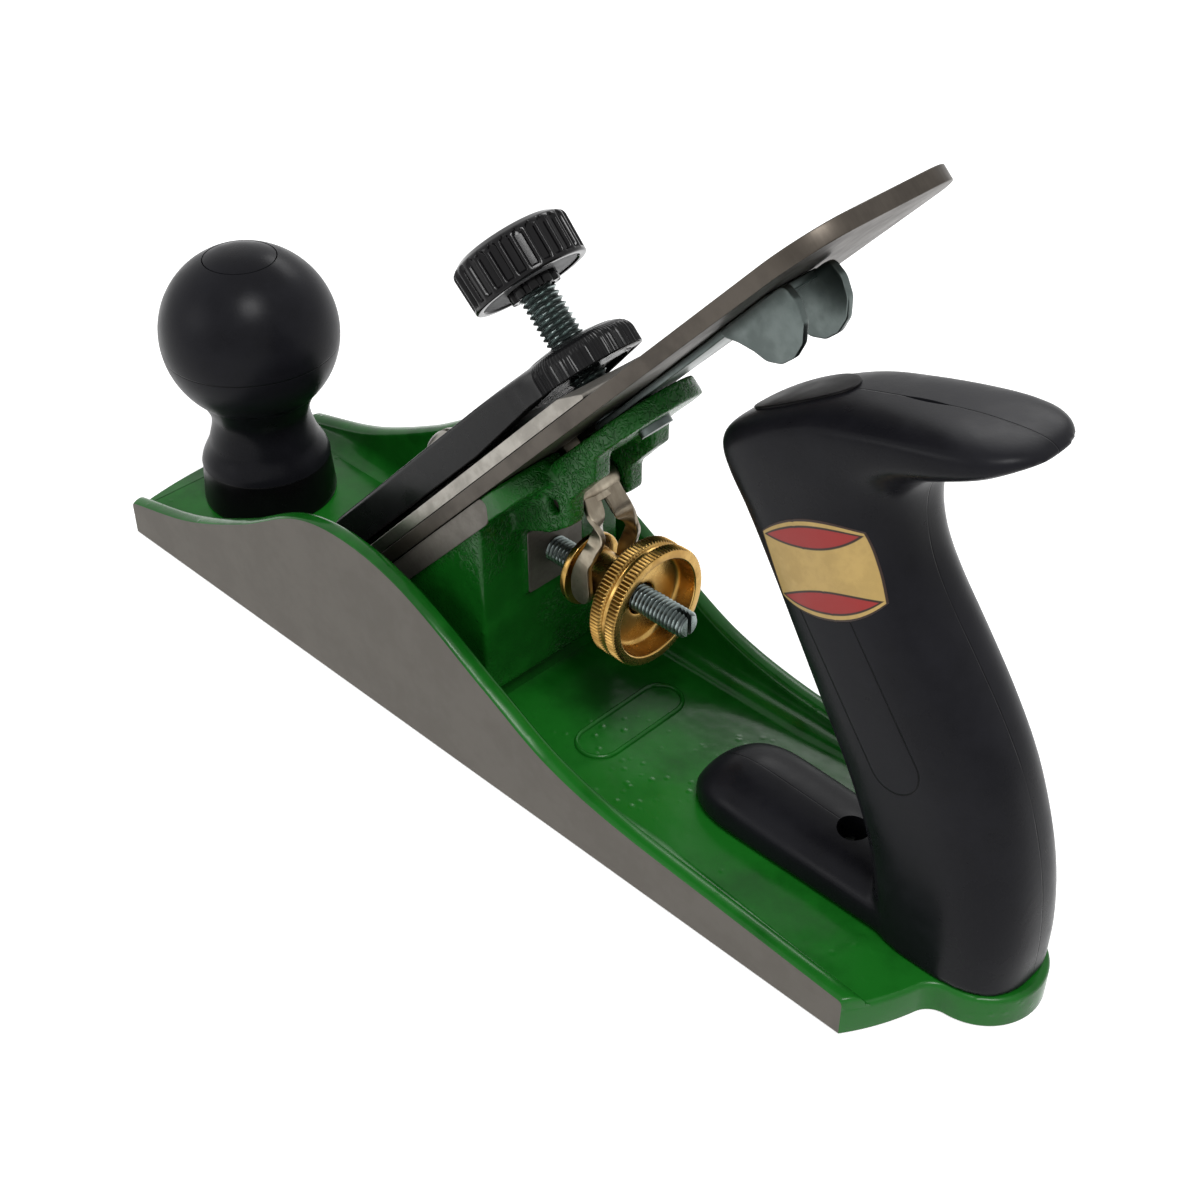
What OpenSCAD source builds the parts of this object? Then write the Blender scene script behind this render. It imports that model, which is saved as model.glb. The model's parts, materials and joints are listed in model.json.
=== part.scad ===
// Bench smoothing plane. Toe at -X, heel at +X, sole on Z = 0, origin at the middle of the sole.

/* [Sole casting] */
// Length over all, from the rounded toe to the tip of the heel tongue
sole_l = 255; // [235:1:275]
// Width over the two ground cheeks
sole_w = 60; // [57:1:66]
// Thickness of the floor of the casting
floor_t = 7; // [6:0.5:8]
// Thickness of each cheek
cheek_t = 4; // [3:0.5:5]
// Height of the cheek's hump above the sole
hump_h = 42.6; // [38:0.1:46]
// Width of the rounded tongue at the heel
tongue_w = 25; // [20:1:28]

/* [Bed and iron] */
// Bed angle above the sole
bed_a = 46.3; // [45:0.1:47]
// Distance from the toe's tip back to where the bed meets the sole
mouth_at = 65.3; // [63:0.1:68]
// Width of the iron
iron_w = 42; // [38:1:46]
// Thickness of the iron
iron_t = 3.1; // [2:0.1:3.4]
// Iron from the bed's foot to its upper end
iron_l = 202.6; // [190:1:210]
// Width of the slot in the iron
slot_w = 11.4; // [11:0.1:12]
// Thickness of the cap iron
cap_iron_t = 2.8; // [1.8:0.1:3]

/* [Frog] */
// Upper end of the frog's tongue, measured up the slope from the sole
frog_bed_l = 135; // [132:1:138]
// Width of the frog's bed plate
frog_w = 41; // [38:1:46]
// Width of the frog's tongue
tongue_frog_w = 22; // [21:0.5:24]
// Thickness of the frog's bed plate
frog_plate_t = 5; // [4:0.5:6]
// Height of the frog seat above the sole
seat_h = 12; // [10:0.5:13]

/* [Depth adjuster] */
// Height of the adjuster's axis above the sole
stud_h = 42.3; // [41:0.1:44]
// Diameter of the adjuster stud
stud_d = 6; // [5:0.5:6]
// Diameter of the adjuster wheel
wheel_d = 26.8; // [24:0.2:30]
// Width of the adjuster wheel's knurled rim
rim_w = 7; // [6:0.5:8]

/* [Lever cap] */
// Width of the lever cap
lever_cap_w = 41; // [38:1:46]
// Height of the lever cap's side walls
lever_cap_h = 8; // [7:0.1:9]
// Radius of the lever cap's round upper end
cap_end_r = 12.7; // [12:0.1:15]
// Diameter of the clamp screw
clamp_d = 8; // [6:0.5:8]
// Diameter of the clamp knob
clamp_knob_d = 25.6; // [22:0.2:30]
// Height of the clamp knob
clamp_knob_h = 10.6; // [8:0.1:12]
// Flutes round the clamp knob
flutes = 28; // [16:1:32]

/* [Handles] */
// Diameter of the front knob's ball
ball_d = 43.5; // [38:0.5:44]
// Height of the ball's middle above the sole
ball_h = 53; // [50:0.5:56]
// Diameter of the front knob's foot
knob_foot_d = 32.4; // [28:0.2:34]
// Distance from the toe's tip to the front knob's axis
knob_at = 22; // [20:0.5:24]
// Width of the rear handle's foot
tote_w = 26; // [22:1:28]
// Height of the rear handle's horn above the sole
tote_h = 118.8; // [112:0.1:124]

/* [Hidden] */
$fn = 64;
EPS = 0.01;
// Gap left between flat faces that slide on each other
SLIDE = 0.05;
// Radial gap round fixed screws and pins
SNUG = 0.05;

toe_tip = -sole_l / 2;
heel_tip = sole_l / 2;
half_w = sole_w / 2;
toe_bulge = 4;
toe_x = toe_tip + toe_bulge;
toe_r = (half_w * half_w + toe_bulge * toe_bulge) / (2 * toe_bulge);
tongue_r = tongue_w / 2;
tongue_x = heel_tip - tongue_r;
heel_x = tongue_x - 10.3;
heel_bulge = 9.5;
heel_r = (half_w * half_w + heel_bulge * heel_bulge) / (2 * heel_bulge);
cheek_in = half_w - cheek_t;
cove_r = 4.5;

bed_x = toe_tip + mouth_at;
knob_x = toe_tip + knob_at;
seat_front = bed_x + seat_h / tan(bed_a) + 1;

cap_iron_top = iron_t + cap_iron_t;
lever_cap_lo = cap_iron_top + 1.7;
lever_cap_hi = lever_cap_lo + lever_cap_h;
cap_screw_s = 58;
iron_screw_s = 78;
clamp_s = 114;
pivot_s = 124;
roller_back = 9.5;
roller_s = pivot_s - roller_back;
hump_s = 9;

// The yoke pin lies this far up the bed and this far under it
yoke_s = 96.5;
yoke_t = -8.9;
yoke_x = bed_x + yoke_s * cos(bed_a) - yoke_t * sin(bed_a);
yoke_z = yoke_s * sin(bed_a) + yoke_t * cos(bed_a);
yoke_pin_r = 1.6;
finger_y = 5;
lug_in = 6;
lug_out = 10.8;

// The frog's rear pad stands this far behind the bed's foot
pad_x = bed_x + 62.2;
seat_back = pad_x - 3;
flange_x = pad_x + 9.6;
groove_x0 = pad_x + 11.2;
groove_x1 = pad_x + 18.4;
rim_x1 = pad_x + 30.2;
rim_x0 = rim_x1 - rim_w;
hub_r = 5.4;
flange_r = 8.3;
stud_end = pad_x + 38.6;
wheel_bore_r = stud_d / 2 + 0.55;
finger_x = (groove_x0 + groove_x1) / 2;

stud_m6_r = 3;
tote_stud_a = 25;

// Helpers

// Puts children on the bed: their X runs up the slope, their Z stands off the bed
module on_bed() {
    translate([bed_x, 0, 0])
        rotate([0, -bed_a, 0])
            children();
}

// A 2D outline drawn in X and Z, given a thickness centred on Y = 0
module upright(width) {
    translate([0, width / 2, 0])
        rotate([90, 0, 0])
            linear_extrude(width)
                children();
}

// A cylinder along +X
module rod_x(x0, x1, r) {
    translate([x0, 0, 0])
        rotate([0, 90, 0])
            cylinder(h = x1 - x0, r = r);
}

// A slot with round ends along X
module slot_2d(x0, x1, width) {
    translate([x0 + width / 2, -width / 2])
        square([x1 - x0 - width, width]);
    translate([x0 + width / 2, 0])
        circle(d = width);
    translate([x1 - width / 2, 0])
        circle(d = width);
}

// Cubic through a list of knots: the value at u, with the slope of the neighbours at each knot
function slope(p, i) =
    i == 0 ? (p[1][1] - p[0][1]) / (p[1][0] - p[0][0])
    : i == len(p) - 1 ? (p[i][1] - p[i - 1][1]) / (p[i][0] - p[i - 1][0])
    : (p[i + 1][1] - p[i - 1][1]) / (p[i + 1][0] - p[i - 1][0]);
function hermite(a, b, ma, mb, w, t) =
    a * (2 * pow(t, 3) - 3 * t * t + 1) + b * (3 * t * t - 2 * pow(t, 3))
    + w * (ma * (pow(t, 3) - 2 * t * t + t) + mb * (pow(t, 3) - t * t));
function seg(p, u, i = 0) = (i >= len(p) - 2 || u <= p[i + 1][0]) ? i : seg(p, u, i + 1);
function curve(p, u) =
    let (i = seg(p, u), w = p[i + 1][0] - p[i][0])
    hermite(p[i][1], p[i + 1][1], slope(p, i), slope(p, i + 1), w, (u - p[i][0]) / w);

// Superellipse with half axes a and b
function egg(a, b, n, steps) = [
    for (k = [0 : steps - 1])
        let (t = 360 * k / steps, c = cos(t), s = sin(t))
        [a * sign(c) * pow(abs(c), 2 / n), b * sign(s) * pow(abs(s), 2 / n)]
];

// Cheek height above the sole, from toe to heel
low_toe = 9.2;
low_heel = 9;
cheek_knots = [
    [toe_x - 1, low_toe - 0.3], [toe_x, low_toe], [toe_x + 26, 16.4], [toe_x + 50, 27.4], [toe_x + 72, 39.8],
    [toe_x + 89, hump_h], [toe_x + 108, 39], [toe_x + 133, 26.4], [toe_x + 150, 18],
    [toe_x + 168, 13.8], [toe_x + 198, 11.3], [heel_x + 1, low_heel]
];
cheek_steps = 76;
cheek_x0 = toe_x - 0.7;
cheek_x1 = heel_x + 0.7;
cheek_dx = (cheek_x1 - cheek_x0) / cheek_steps;

// Sole casting

module sole_outline() {
    intersection() {
        translate([toe_tip, -half_w])
            square([heel_x + heel_bulge - toe_tip, sole_w]);
        union() {
            translate([toe_tip + toe_r, 0])
                circle(r = toe_r, $fn = 180);
            translate([0, -half_w])
                square([sole_l, sole_w]);
        }
        translate([heel_x + heel_bulge - heel_r, 0])
            union() {
                circle(r = heel_r, $fn = 180);
                translate([-sole_l, -half_w])
                    square([sole_l, sole_w]);
            }
    }
    translate([tongue_x, 0])
        circle(r = tongue_r);
    tongue_fillets();
}

// Concave fillets between the heel's arc and the tongue
module tongue_fillets() {
    fillet_r = 5;
    gap = heel_r + fillet_r;
    heel_c = heel_x + heel_bulge - heel_r;
    // The fillet circle touches the heel's arc and the tongue's circle from outside
    d = tongue_x - heel_c;
    far = tongue_r + fillet_r;
    along = (gap * gap - far * far + d * d) / (2 * d);
    up = sqrt(gap * gap - along * along);
    bite = 0.08;
    inner_heel = (heel_r - bite) / gap;
    inner_tongue = (tongue_r - bite) / far;
    for (side = [-1, 1])
        difference() {
            polygon([
                [heel_c + along * inner_heel, side * up * inner_heel],
                [heel_c + along, side * up],
                [tongue_x + (heel_c + along - tongue_x) * inner_tongue, side * up * inner_tongue],
                [tongue_x - tongue_r, 0]
            ]);
            translate([heel_c + along, side * up])
                circle(r = fillet_r - 0.04);
        }
}

// One cheek's face, lowered by drop along its rounded rim
module cheek_face(drop) {
    polygon(concat(
        [[cheek_x0, 0]],
        [for (k = [0 : cheek_steps])
            [cheek_x0 + k * cheek_dx, curve(cheek_knots, cheek_x0 + k * cheek_dx) - drop]],
        [[cheek_x1, 0]]
    ));
}

module cheek() {
    rim = [[0, cheek_t, 0.9], [0.3, cheek_t - 0.3, 0.35], [0.8, cheek_t - 0.9, 0]];
    for (r = rim)
        translate([0, r[1], 0])
            rotate([90, 0, 0])
                linear_extrude(r[1] - r[0])
                    cheek_face(r[2]);
}

// Cove between the floor and a cheek
module cove(length) {
    rotate([90, 0, 90])
        linear_extrude(length)
            difference() {
                square(cove_r);
                translate([cove_r, cove_r])
                    circle(r = cove_r);
            }
}

module mouth_cut() {
    mouth_w = iron_w + 2;
    throat = 7;
    lip = (iron_t + 1.2) / sin(bed_a);
    upright(mouth_w)
        polygon([
            [bed_x - lip, -EPS],
            [bed_x + 0.4, -EPS],
            [bed_x + 0.4 + (seat_h + 1) / tan(bed_a), seat_h + 1],
            [bed_x - lip - throat, seat_h + 1],
            [bed_x - lip - throat, floor_t],
            [bed_x - lip, 2]
        ]);
}

module body() {
    rib_x = toe_tip + 45;
    frog_tap_r = 2.45;
    color([0.16, 0.42, 0.17])
        difference() {
            union() {
                linear_extrude(floor_t)
                    sole_outline();
                intersection() {
                    union() {
                        translate([0, -half_w, 0])
                            cheek();
                        translate([0, half_w, 0])
                            mirror([0, 1, 0])
                                cheek();
                        for (side = [-1, 1])
                            translate([toe_x + 6, side * cheek_in, floor_t])
                                mirror([0, side > 0 ? 1 : 0, 0])
                                    cove(heel_x - toe_x - 16);
                        // Rib across the floor behind the front knob
                        translate([rib_x, -cheek_in, 0])
                            cube([5, 2 * cheek_in, floor_t + 4]);
                    }
                    linear_extrude(hump_h + 10)
                        sole_outline();
                }
                // Seat of the frog, with its side coves left to the cheeks
                translate([seat_front, -frog_w / 2 + 1, 0])
                    cube([seat_back - seat_front, frog_w - 2, seat_h - SLIDE]);
                // Low step behind the frog
                translate([seat_back - 6, -cheek_in, 0])
                    cube([9, 2 * cheek_in, floor_t + 2]);
                // Boss inside the front knob's ring
                translate([knob_x, 0, 0])
                    cylinder(h = floor_t + 3, r = 9);
                // Raised oval on the floor, left plain
                floor_oval();
                // Boss under the rear handle
                translate([tote_stud_x, 0, 0])
                    cylinder(h = floor_t + boss_up, r = 5.5);
            }
            mouth_cut();
            for (side = [-1, 1])
                translate([frog_screw_x, side * frog_screw_y, 2.5])
                    cylinder(h = seat_h, r = frog_tap_r);
            translate([knob_x, 0, 2])
                cylinder(h = floor_t + 4, r = stud_m6_r + SNUG);
            translate([tote_toe_x, 0, 2])
                cylinder(h = floor_t + 4, r = toe_screw_r + SNUG);
            difference() {
                tote_axis()
                    translate([0, 0, -8])
                        cylinder(h = 20, r = stud_m6_r + SNUG);
                translate([tote_stud_x - 20, -20, -2])
                    cube([40, 40, 3.95]);
            }
        }
}

oval_l = 30;
oval_w = 11;
oval_x = pad_x + 22.5;
module floor_oval() {
    translate([oval_x, 0, floor_t - 1])
        linear_extrude(1.8)
            difference() {
                rotate(90)
                    slot_2d(-oval_l / 2, oval_l / 2, oval_w);
                rotate(90)
                    slot_2d(-oval_l / 2 + 1.2, oval_l / 2 - 1.2, oval_w - 2.4);
            }
}

// Frog

frog_screw_x = pad_x - 27;
frog_screw_y = 13;
frog_screw_r = 2.4;
foot_t = 6;
seat_z = seat_h;

// Side outline of the frog's lugs that hold the yoke pin
lug_points = [
    [pad_x - 3, 50], [pad_x + 2, 53], [pad_x + 10, 56.4], [pad_x + 15.5, 60.6], [pad_x + 15.6, 66.8],
    [pad_x + 22.3, 74.5], [pad_x + 22.6, 80.5], bed_point([119, -3]), bed_point([80, -3]), [pad_x - 8, 51]
];

module frog() {
    lever_cut_w = 17;
    color([0.16, 0.42, 0.17])
        difference() {
            union() {
                // Bed plate, with the narrower tongue that carries the lateral lever
                difference() {
                    on_bed() {
                        translate([0, 0, -frog_plate_t])
                            linear_extrude(frog_plate_t - SLIDE)
                                bed_plan();
                        translate([0, 0, -frog_plate_t - 1])
                            linear_extrude(frog_plate_t + 1 - lever_t - 0.3)
                                tongue_plan();
                    }
                    translate([bed_x - 60, -frog_w, seat_z - 60])
                        cube([frog_bed_l + 60, 2 * frog_w, 60]);
                }
                // Foot plate and rear wall
                intersection() {
                    union() {
                        translate([seat_front + 2, -frog_w / 2 + 2, seat_z])
                            cube([pad_x - 1 - seat_front - 2, frog_w - 4, foot_t]);
                        translate([pad_x - 6, -20, seat_z])
                            cube([5, 40, 44]);
                        // Gussets
                        for (y = [-20, -lug_out, lug_in, 15])
                            translate([seat_front, y, seat_z])
                                cube([pad_x - 1 - seat_front, 5, 60]);
                    }
                    under_bed();
                }
                // Machined pad that the adjuster stud screws into
                translate([pad_x - 12, -8, stud_h - 8])
                    cube([12, 16, 15.6]);
                // Lugs for the yoke pin
                for (side = [-1, 1])
                    translate([0, side * (lug_in + lug_out) / 2, 0])
                        upright(lug_out - lug_in)
                            polygon(lug_points);
                // Boss for the lever cap screw
                on_bed()
                    translate([cap_screw_s, 0, -14])
                        cylinder(h = 14 - SLIDE, r = 7);
            }
            // Stud hole in the pad
            translate([0, 0, stud_h])
                rod_x(pad_x - 13, pad_x + 1, stud_d / 2 + SNUG);
            // Yoke pin hole
            translate([yoke_x, 0, yoke_z])
                rotate([90, 0, 0])
                    cylinder(h = 4 * lug_out, r = yoke_pin_r + SNUG, center = true);
            // Window for the yoke's finger and room for the iron's screw head
            on_bed() {
                translate([yoke_s - 12, -lug_in - 0.15, -frog_plate_t - 1.6])
                    cube([24, 2 * lug_in + 0.3, frog_plate_t + 3]);
                translate([iron_screw_s, 0, -frog_plate_t - 1.4])
                    cylinder(h = frog_plate_t + 3, r = 7.8);
                translate([cap_screw_s, 0, -15])
                    cylinder(h = 16, r = lever_screw_r + SNUG);
                translate([pivot_s, 0, -frog_plate_t - 4])
                    cylinder(h = 8, r = rivet_r + SNUG);
            }
            // Holes over the frog screws
            for (side = [-1, 1])
                translate([frog_screw_x, side * frog_screw_y, 0]) {
                    cylinder(h = 40, r = frog_screw_r + 0.3);
                    translate([0, 0, seat_z + foot_t])
                        cylinder(h = 60, r = 6.2);
                }
            // Clear way for the yoke between the lugs
            translate([pad_x + EPS - 6, -lug_in - 0.3, stud_h + 8])
                cube([40, 2 * lug_in + 0.6, 10]);
        }
}

// The wide bed, with rounded shoulders where it narrows
shoulder_s = 102;
module bed_plan() {
    r = 8;
    translate([0, -frog_w / 2])
        square([shoulder_s - r, frog_w]);
    translate([shoulder_s - r - 1, -frog_w / 2 + r])
        square([r + 1, frog_w - 2 * r]);
    for (side = [-1, 1])
        translate([shoulder_s - r, side * (frog_w / 2 - r)])
            circle(r = r);
}

// The tongue with its half round end
module tongue_plan() {
    r = tongue_frog_w / 2;
    translate([shoulder_s - 16, -r])
        square([frog_bed_l - r - shoulder_s + 16, 2 * r]);
    translate([frog_bed_l - r, 0])
        circle(r = r);
}

// Everything under the bed plate's upper face and above the seat
module under_bed() {
    upright(4 * frog_w)
        polygon([
            [bed_x + (seat_z + 1) / tan(bed_a) + 2, seat_z],
            [pad_x - 1, seat_z],
            [pad_x - 1, (pad_x - 1 - bed_x) * tan(bed_a) - 2],
        ]);
}

module frog_washers() {
    color([0.6, 0.6, 0.58])
        for (side = [-1, 1])
            translate([frog_screw_x, side * frog_screw_y, seat_z + foot_t])
                difference() {
                    cylinder(h = 1.2, r = 5.4);
                    translate([0, 0, -1])
                        cylinder(h = 4, r = frog_screw_r + 0.2);
                }
}

module frog_screws() {
    color([0.6, 0.6, 0.58])
        for (side = [-1, 1])
            translate([frog_screw_x, side * frog_screw_y, 3]) {
                cylinder(h = seat_z + foot_t + 1.2 - 3, r = frog_screw_r);
                translate([0, 0, seat_z + foot_t + 1.2 - 3])
                    difference() {
                        cylinder(h = 3, r = 4.6);
                        translate([-5, -0.6, 1.6])
                            cube([10, 1.2, 3]);
                    }
            }
}

// Depth adjuster

module depth_stud() {
    slot_d = 3.2;
    slot_t = 1.2;
    color([0.72, 0.76, 0.78])
        translate([0, 0, stud_h])
            difference() {
                union() {
                    rod_x(pad_x - 11, stud_end - 1, stud_d / 2);
                    translate([stud_end - 1, 0, 0])
                        rotate([0, 90, 0])
                            cylinder(h = 1, r1 = stud_d / 2, r2 = stud_d / 2 - 0.8);
                }
                translate([stud_end - slot_d, -slot_t / 2, -stud_d])
                    cube([slot_d + 1, slot_t, 2 * stud_d]);
            }
}

// Outline turned round the stud: radius and distance along the axis
module wheel_half() {
    r = wheel_d / 2;
    band = 0.37 * rim_w;
    polygon([
        [wheel_bore_r, flange_x], [flange_r, flange_x], [flange_r, groove_x0], [hub_r, groove_x0],
        [hub_r, groove_x1], [hub_r + 2, rim_x0], [r - 0.5, rim_x0], [r, rim_x0 + 0.5],
        [r, rim_x0 + band], [r - 0.9, rim_x0 + band + 0.7], [r - 0.9, rim_x1 - band - 0.7],
        [r, rim_x1 - band], [r, rim_x1 - 0.5], [r - 0.5, rim_x1], [r - 2.4, rim_x1],
        [r - 2.8, rim_x0 + 2], [wheel_bore_r, rim_x0 + 2]
    ]);
}

module depth_wheel() {
    color([0.78, 0.62, 0.3])
        translate([0, 0, stud_h])
            rotate([0, 90, 0])
                rotate_extrude($fn = 96)
                    wheel_half();
}

yoke_sheet = 1.5;
finger_w = groove_x1 - groove_x0 - 1.8;
// Half thickness of the yoke's root, which balances the legs about the pin
root_half = 3;
module yoke() {
    leg_in = hub_r + 0.5;
    leg_out = leg_in + yoke_sheet;
    plate_w = 2 * lug_in - 0.8;
    tip_t = cap_iron_top - 0.4;
    color([0.72, 0.68, 0.6])
        difference() {
            union() {
                // Eye round the pin
                translate([yoke_x, plate_w / 2, yoke_z])
                    rotate([90, 0, 0])
                        cylinder(h = plate_w, r = 3.2);
                // Root that rises into the frog's window
                upright(plate_w)
                    polygon([for (p = [[yoke_s - root_half, yoke_t + 1], [yoke_s - root_half, -1.2],
                        [yoke_s + root_half, -1.2], [yoke_s + root_half, yoke_t + 1]]) bed_point(p)]);
                // Finger that reaches up through the iron
                upright(finger_y)
                    polygon([for (p = [[yoke_s - 2.5, yoke_t], [yoke_s - 2.2, tip_t],
                        [yoke_s + 2.2, tip_t], [yoke_s + 2.5, yoke_t]]) bed_point(p)]);
                // Strap bent down behind the pin
                upright(plate_w)
                    polygon([
                        [yoke_x, yoke_z + 3.1], [yoke_x + 3, yoke_z + 2], [yoke_x + 7, yoke_z - 2],
                        [finger_x + 3.2, stud_h + 10], [finger_x + 3.2 - yoke_sheet, stud_h + 10],
                        [yoke_x + 7 - yoke_sheet, yoke_z - 2.6], [yoke_x + 2.4, yoke_z + 0.5], [yoke_x, yoke_z + 1.8]
                    ]);
                // Two legs astride the hub
                for (side = [-1, 1])
                    translate([0, side * (leg_in + leg_out) / 2, 0])
                        upright(yoke_sheet)
                            yoke_leg();
                // Shoulder that spreads the legs
                translate([finger_x - 1.2, -leg_out, stud_h + 9.6])
                    cube([4.6, 2 * leg_out, yoke_sheet]);
            }
            translate([yoke_x, 0, yoke_z])
                rotate([90, 0, 0])
                    cylinder(h = 3 * plate_w, r = yoke_pin_r + 0.1, center = true);
        }
}

function bed_point(p) = [bed_x + p[0] * cos(bed_a) - p[1] * sin(bed_a), p[0] * sin(bed_a) + p[1] * cos(bed_a)];

module yoke_leg() {
    translate([finger_x, stud_h])
        circle(d = finger_w);
    polygon([
        [finger_x - finger_w / 2, stud_h], [finger_x + finger_w / 2, stud_h],
        [finger_x + 3.4, stud_h + 11.1], [finger_x - 1.2, stud_h + 11.1]
    ]);
}

module yoke_pin() {
    color([0.6, 0.6, 0.58])
        translate([yoke_x, 0, yoke_z])
            rotate([90, 0, 0])
                cylinder(h = 2 * lug_out - 0.6, r = yoke_pin_r, center = true);
}

// Lateral lever

lever_t = 1.5;
rivet_r = 2.5;
lever_w = 10;
ear_y = 6;
ear_s0 = 163.7;
ear_s1 = 186.7;
// The lever stands swung towards the near side by this angle
lever_rest = 5.5;

// Turns children about the lever's pivot
module lever_place() {
    on_bed()
        translate([pivot_s, 0, 0])
            rotate(-lever_rest)
                translate([-pivot_s, 0, 0])
                    children();
}

module lateral_lever() {
    color([0.7, 0.74, 0.76])
        lever_place()
            difference() {
                union() {
                    translate([0, 0, -lever_t - 0.1])
                        linear_extrude(lever_t) {
                            slot_2d(roller_s - 5, ear_s0 + 8, lever_w);
                            translate([ear_s0 + 3, -ear_y])
                                square([ear_s1 - ear_s0 - 8, 2 * ear_y]);
                        }
                    for (side = [-1, 1])
                        translate([0, side * (ear_y - lever_t / 2), 0])
                            upright(lever_t)
                                ear_2d();
                }
                translate([pivot_s, 0, -10])
                    cylinder(h = 20, r = rivet_r + 0.08);
                translate([roller_s, 0, -10])
                    cylinder(h = 20, r = 1.6);
            }
}

// A bent-down ear, rounded below
module ear_2d() {
    mid = ear_s0 + 14;
    r = 8.4;
    low = -11.2;
    intersection() {
        translate([ear_s0 - 1, low])
            square([ear_s1 - ear_s0 + 2, -low - 0.1]);
        union() {
            translate([mid, low + r])
                circle(r = r);
            polygon([[ear_s0, -0.1], [ear_s0 + 2, -1.8], [ear_s0 + 4.6, -4.4], [mid - 4, low + 2], [mid, -0.1]]);
        }
    }
}

module lateral_rivet() {
    tail = 1.4;
    color([0.62, 0.64, 0.66])
        on_bed()
            translate([pivot_s, 0, -frog_plate_t - 1]) {
                translate([0, 0, -0.6])
                    cylinder(h = frog_plate_t + 1.6 - 0.1, r = rivet_r);
                translate([0, 0, -tail])
                    cylinder(h = tail - SLIDE, r = rivet_r + 1);
            }
}

module lateral_roller() {
    color([0.62, 0.64, 0.66])
        lever_place()
            translate([roller_s, 0, 0]) {
                cylinder(h = iron_t - 0.4, r = 4.5);
                translate([0, 0, -lever_t - 0.1])
                    cylinder(h = lever_t + 0.2, r = 1.5);
            }
}

// Iron and cap iron

bevel_a = 25;
iron_s0 = (0.15 - iron_t * cos(bed_a)) / sin(bed_a);
module iron() {
    bevel_l = iron_t / tan(bevel_a);
    corner_r = 11;
    color([0.42, 0.4, 0.37])
        on_bed()
            difference() {
                intersection() {
                    upright(iron_w)
                        polygon([[iron_s0, iron_t], [iron_s0 + bevel_l, 0], [iron_l, 0], [iron_l, iron_t]]);
                    translate([0, 0, -1])
                        linear_extrude(iron_t + 2)
                            union() {
                                translate([-20, -iron_w / 2])
                                    square([iron_l + 20 - corner_r, iron_w]);
                                translate([iron_l - corner_r - 1, -iron_w / 2 + corner_r])
                                    square([corner_r + 1, iron_w - 2 * corner_r]);
                                for (side = [-1, 1])
                                    translate([iron_l - corner_r, side * (iron_w / 2 - corner_r)])
                                        circle(r = corner_r);
                            }
                }
                translate([0, 0, -1])
                    linear_extrude(iron_t + 2) {
                        slot_2d(42, roller_s + 9, slot_w);
                        translate([50, 0])
                            circle(d = 15);
                    }
            }
}

module cap_iron() {
    lead = 1.2;
    end_s = 137;
    color([0.6, 0.59, 0.56])
        on_bed()
            difference() {
                upright(iron_w)
                    polygon([
                        [lead, iron_t + 0.02], [lead + 1.6, iron_t + 1.8], [hump_s - 2, lever_cap_lo - 0.9],
                        [hump_s + 1, lever_cap_lo - SLIDE], [hump_s + 5, lever_cap_lo - SLIDE],
                        [hump_s + 9, cap_iron_top + 0.4], [hump_s + 13, cap_iron_top],
                        [end_s - 6, cap_iron_top], [end_s, iron_t + 1.2], [end_s, iron_t + 0.02],
                        [hump_s + 12, iron_t + 0.02], [hump_s + 5, lever_cap_lo - 2.6],
                        [hump_s - 1, lever_cap_lo - 2.8], [lead + 3, iron_t + 0.02]
                    ]);
                // Slot for the lever cap screw, tapped hole and the yoke's notch
                translate([0, 0, iron_t - 1])
                    linear_extrude(10)
                        slot_2d(cap_screw_s - 11, cap_screw_s + 6, 10);
                translate([iron_screw_s, 0, iron_t - 1])
                    cylinder(h = 10, r = iron_screw_r + SNUG);
                translate([yoke_s - 3.1, -finger_y / 2 - 0.3, iron_t - 1])
                    cube([6.2, finger_y + 0.6, 10]);
            }
}

iron_screw_r = 4;
module cap_iron_screw() {
    color([0.55, 0.55, 0.53])
        on_bed()
            translate([iron_screw_s, 0, 0]) {
                translate([0, 0, -3.6])
                    difference() {
                        cylinder(h = 3.6, r = 6.8);
                        translate([-7, -0.7, -1])
                            cube([14, 1.4, 2.4]);
                    }
                cylinder(h = cap_iron_top - 0.2, r = iron_screw_r);
            }
}

// Lever cap and its clamp

lever_screw_r = 3;
key_slot = 10;
wall = 3;
top_t = 3.6;
lever_cap_s0 = 10;
key_pad = 2;

module lever_cap_plan(inset) {
    front = lever_cap_w / 2 - inset;
    r = cap_end_r - inset;
    // The straight sides touch the round end at this angle
    lean = asin((front - r) / (clamp_s - lever_cap_s0));
    touch = r - 0.03;
    polygon([
        [lever_cap_s0 + inset, -front], [clamp_s + touch * sin(lean), -touch * cos(lean)],
        [clamp_s + touch * sin(lean), touch * cos(lean)], [lever_cap_s0 + inset, front]
    ]);
    translate([clamp_s, 0])
        circle(r = r, $fn = 96);
}

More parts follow.
